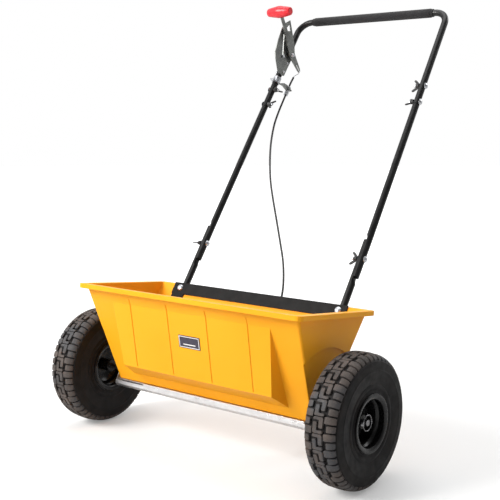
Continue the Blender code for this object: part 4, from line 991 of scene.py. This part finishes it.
def make_rest(looks):
    """Every other CAD node keeps its shape, with smooth shading and its own finish."""
    for name, node in frame["nodes"].items():
        if not node.hide_render:
            refined(name, looks[SLOTS[name]])


# ---- stage


def area_light(name, spot, target, size, power, colour=(1, 1, 1)):
    light = bpy.data.lights.new(name, "AREA")
    light.shape = "RECTANGLE"
    light.size, light.size_y = size
    light.energy = power
    light.color = colour
    lamp = bpy.data.objects.new(name, light)
    bpy.context.scene.collection.objects.link(lamp)
    lamp.location = spot
    lamp.rotation_euler = (Vector(target) - Vector(spot)).to_track_quat("-Z", "Y").to_euler()


def make_floor():
    """A wide pale floor, which to the camera brightens with distance and so shows no edge."""
    bm = bmesh.new()
    rings = []
    for radius in FLOOR_RADII:
        ring = []
        for k in range(FLOOR_STEPS):
            angle = 2 * math.pi * k / FLOOR_STEPS
            ring.append(bm.verts.new((radius * math.cos(angle), radius * math.sin(angle), 0)))
        rings.append(ring)
    bm.faces.new(rings[0])
    for low, high in zip(rings, rings[1:]):
        for k in range(FLOOR_STEPS):
            after = (k + 1) % FLOOR_STEPS
            bm.faces.new((low[k], high[k], high[after], low[after]))
    made = Finish("floor_look", (0.70, 0.70, 0.70), 0.7, specular=0.2)
    made.colour(made.mixed(made.noise(3.0, 2.0), (0.695, 0.695, 0.695), (0.705, 0.705, 0.702)))
    reach = made.add("ShaderNodeVectorMath", operation="LENGTH")
    made.link(made.place, reach.inputs[0])
    glow = made.span(reach.outputs["Value"], 0.7, 2.6, 0.24, 0.9)
    seen = made.add("ShaderNodeLightPath").outputs["Is Camera Ray"]
    made.link(made.maths("MULTIPLY", glow, seen), made.shader.inputs["Emission Strength"])
    made.shader.inputs["Emission Color"].default_value = (1, 1, 1, 1)
    floor = piece("floor", bm, made.material)
    floor.location.z = -FLOOR_BELOW


def make_world():
    """A white surround, brighter behind the machine than on the viewer's right."""
    world = bpy.data.worlds.new("studio")
    bpy.context.scene.world = world
    world.use_nodes = True
    tree = world.node_tree
    background = tree.nodes["Background"]
    place = tree.nodes.new("ShaderNodeTexCoord")
    towards = tree.nodes.new("ShaderNodeVectorMath")
    towards.operation = "DOT_PRODUCT"
    towards.inputs[1].default_value = WORLD_BRIGHT_WAY.normalized()
    tree.links.new(place.outputs["Generated"], towards.inputs[0])
    level = tree.nodes.new("ShaderNodeMapRange")
    level.inputs["From Min"].default_value = -0.4
    level.inputs["From Max"].default_value = 0.6
    level.inputs["To Min"].default_value = WORLD_DIM
    level.inputs["To Max"].default_value = WORLD_BRIGHT
    tree.links.new(towards.outputs["Value"], level.inputs["Value"])
    seen = tree.nodes.new("ShaderNodeLightPath").outputs["Is Camera Ray"]
    brighter = tree.nodes.new("ShaderNodeMath")
    brighter.operation = "MAXIMUM"  # the backdrop itself is plain white
    tree.links.new(level.outputs["Result"], brighter.inputs[0])
    tree.links.new(seen, brighter.inputs[1])
    tree.links.new(brighter.outputs["Value"], background.inputs["Strength"])
    background.inputs["Color"].default_value = (1.0, 1.0, 1.0, 1)


def make_lights():
    area_light("key", (-1.5, -2.7, 2.1), LIGHTS_CENTRE, (1.5, 1.5), 138.0, (1.0, 0.985, 0.96))
    area_light("back", (1.6, 2.4, 2.4), LIGHTS_CENTRE, (1.2, 1.6), 22.0)
    area_light("top", (-0.2, 0.2, 3.0), LIGHTS_CENTRE, (2.0, 2.0), 34.0)
    area_light("side_strip", (2.6, -1.4, 1.0), (0.3, -0.2, 0.3), (0.16, 1.6), 2.0)


def make_camera():
    camera = bpy.data.cameras.new("camera")
    camera.lens = VIEW_LENS
    camera.sensor_width = 36.0
    made = bpy.data.objects.new("camera", camera)
    bpy.context.scene.collection.objects.link(made)
    level = math.cos(VIEW_ELEVATION)
    back = Vector(
        (
            math.sin(VIEW_AZIMUTH) * level,
            -math.cos(VIEW_AZIMUTH) * level,
            math.sin(VIEW_ELEVATION),
        )
    )
    made.location = VIEW_CENTRE + back * VIEW_DISTANCE
    made.rotation_euler = back.to_track_quat("Z", "Y").to_euler()
    bpy.context.scene.camera = made


def main():
    make_camera()
    looks = make_looks()
    make_cables(looks)
    make_wheels(looks)
    make_push_bar(looks)
    make_grip(looks)
    make_knob(looks)
    make_hopper(looks)
    make_rest(looks)
    make_floor()
    make_world()
    make_lights()


main()
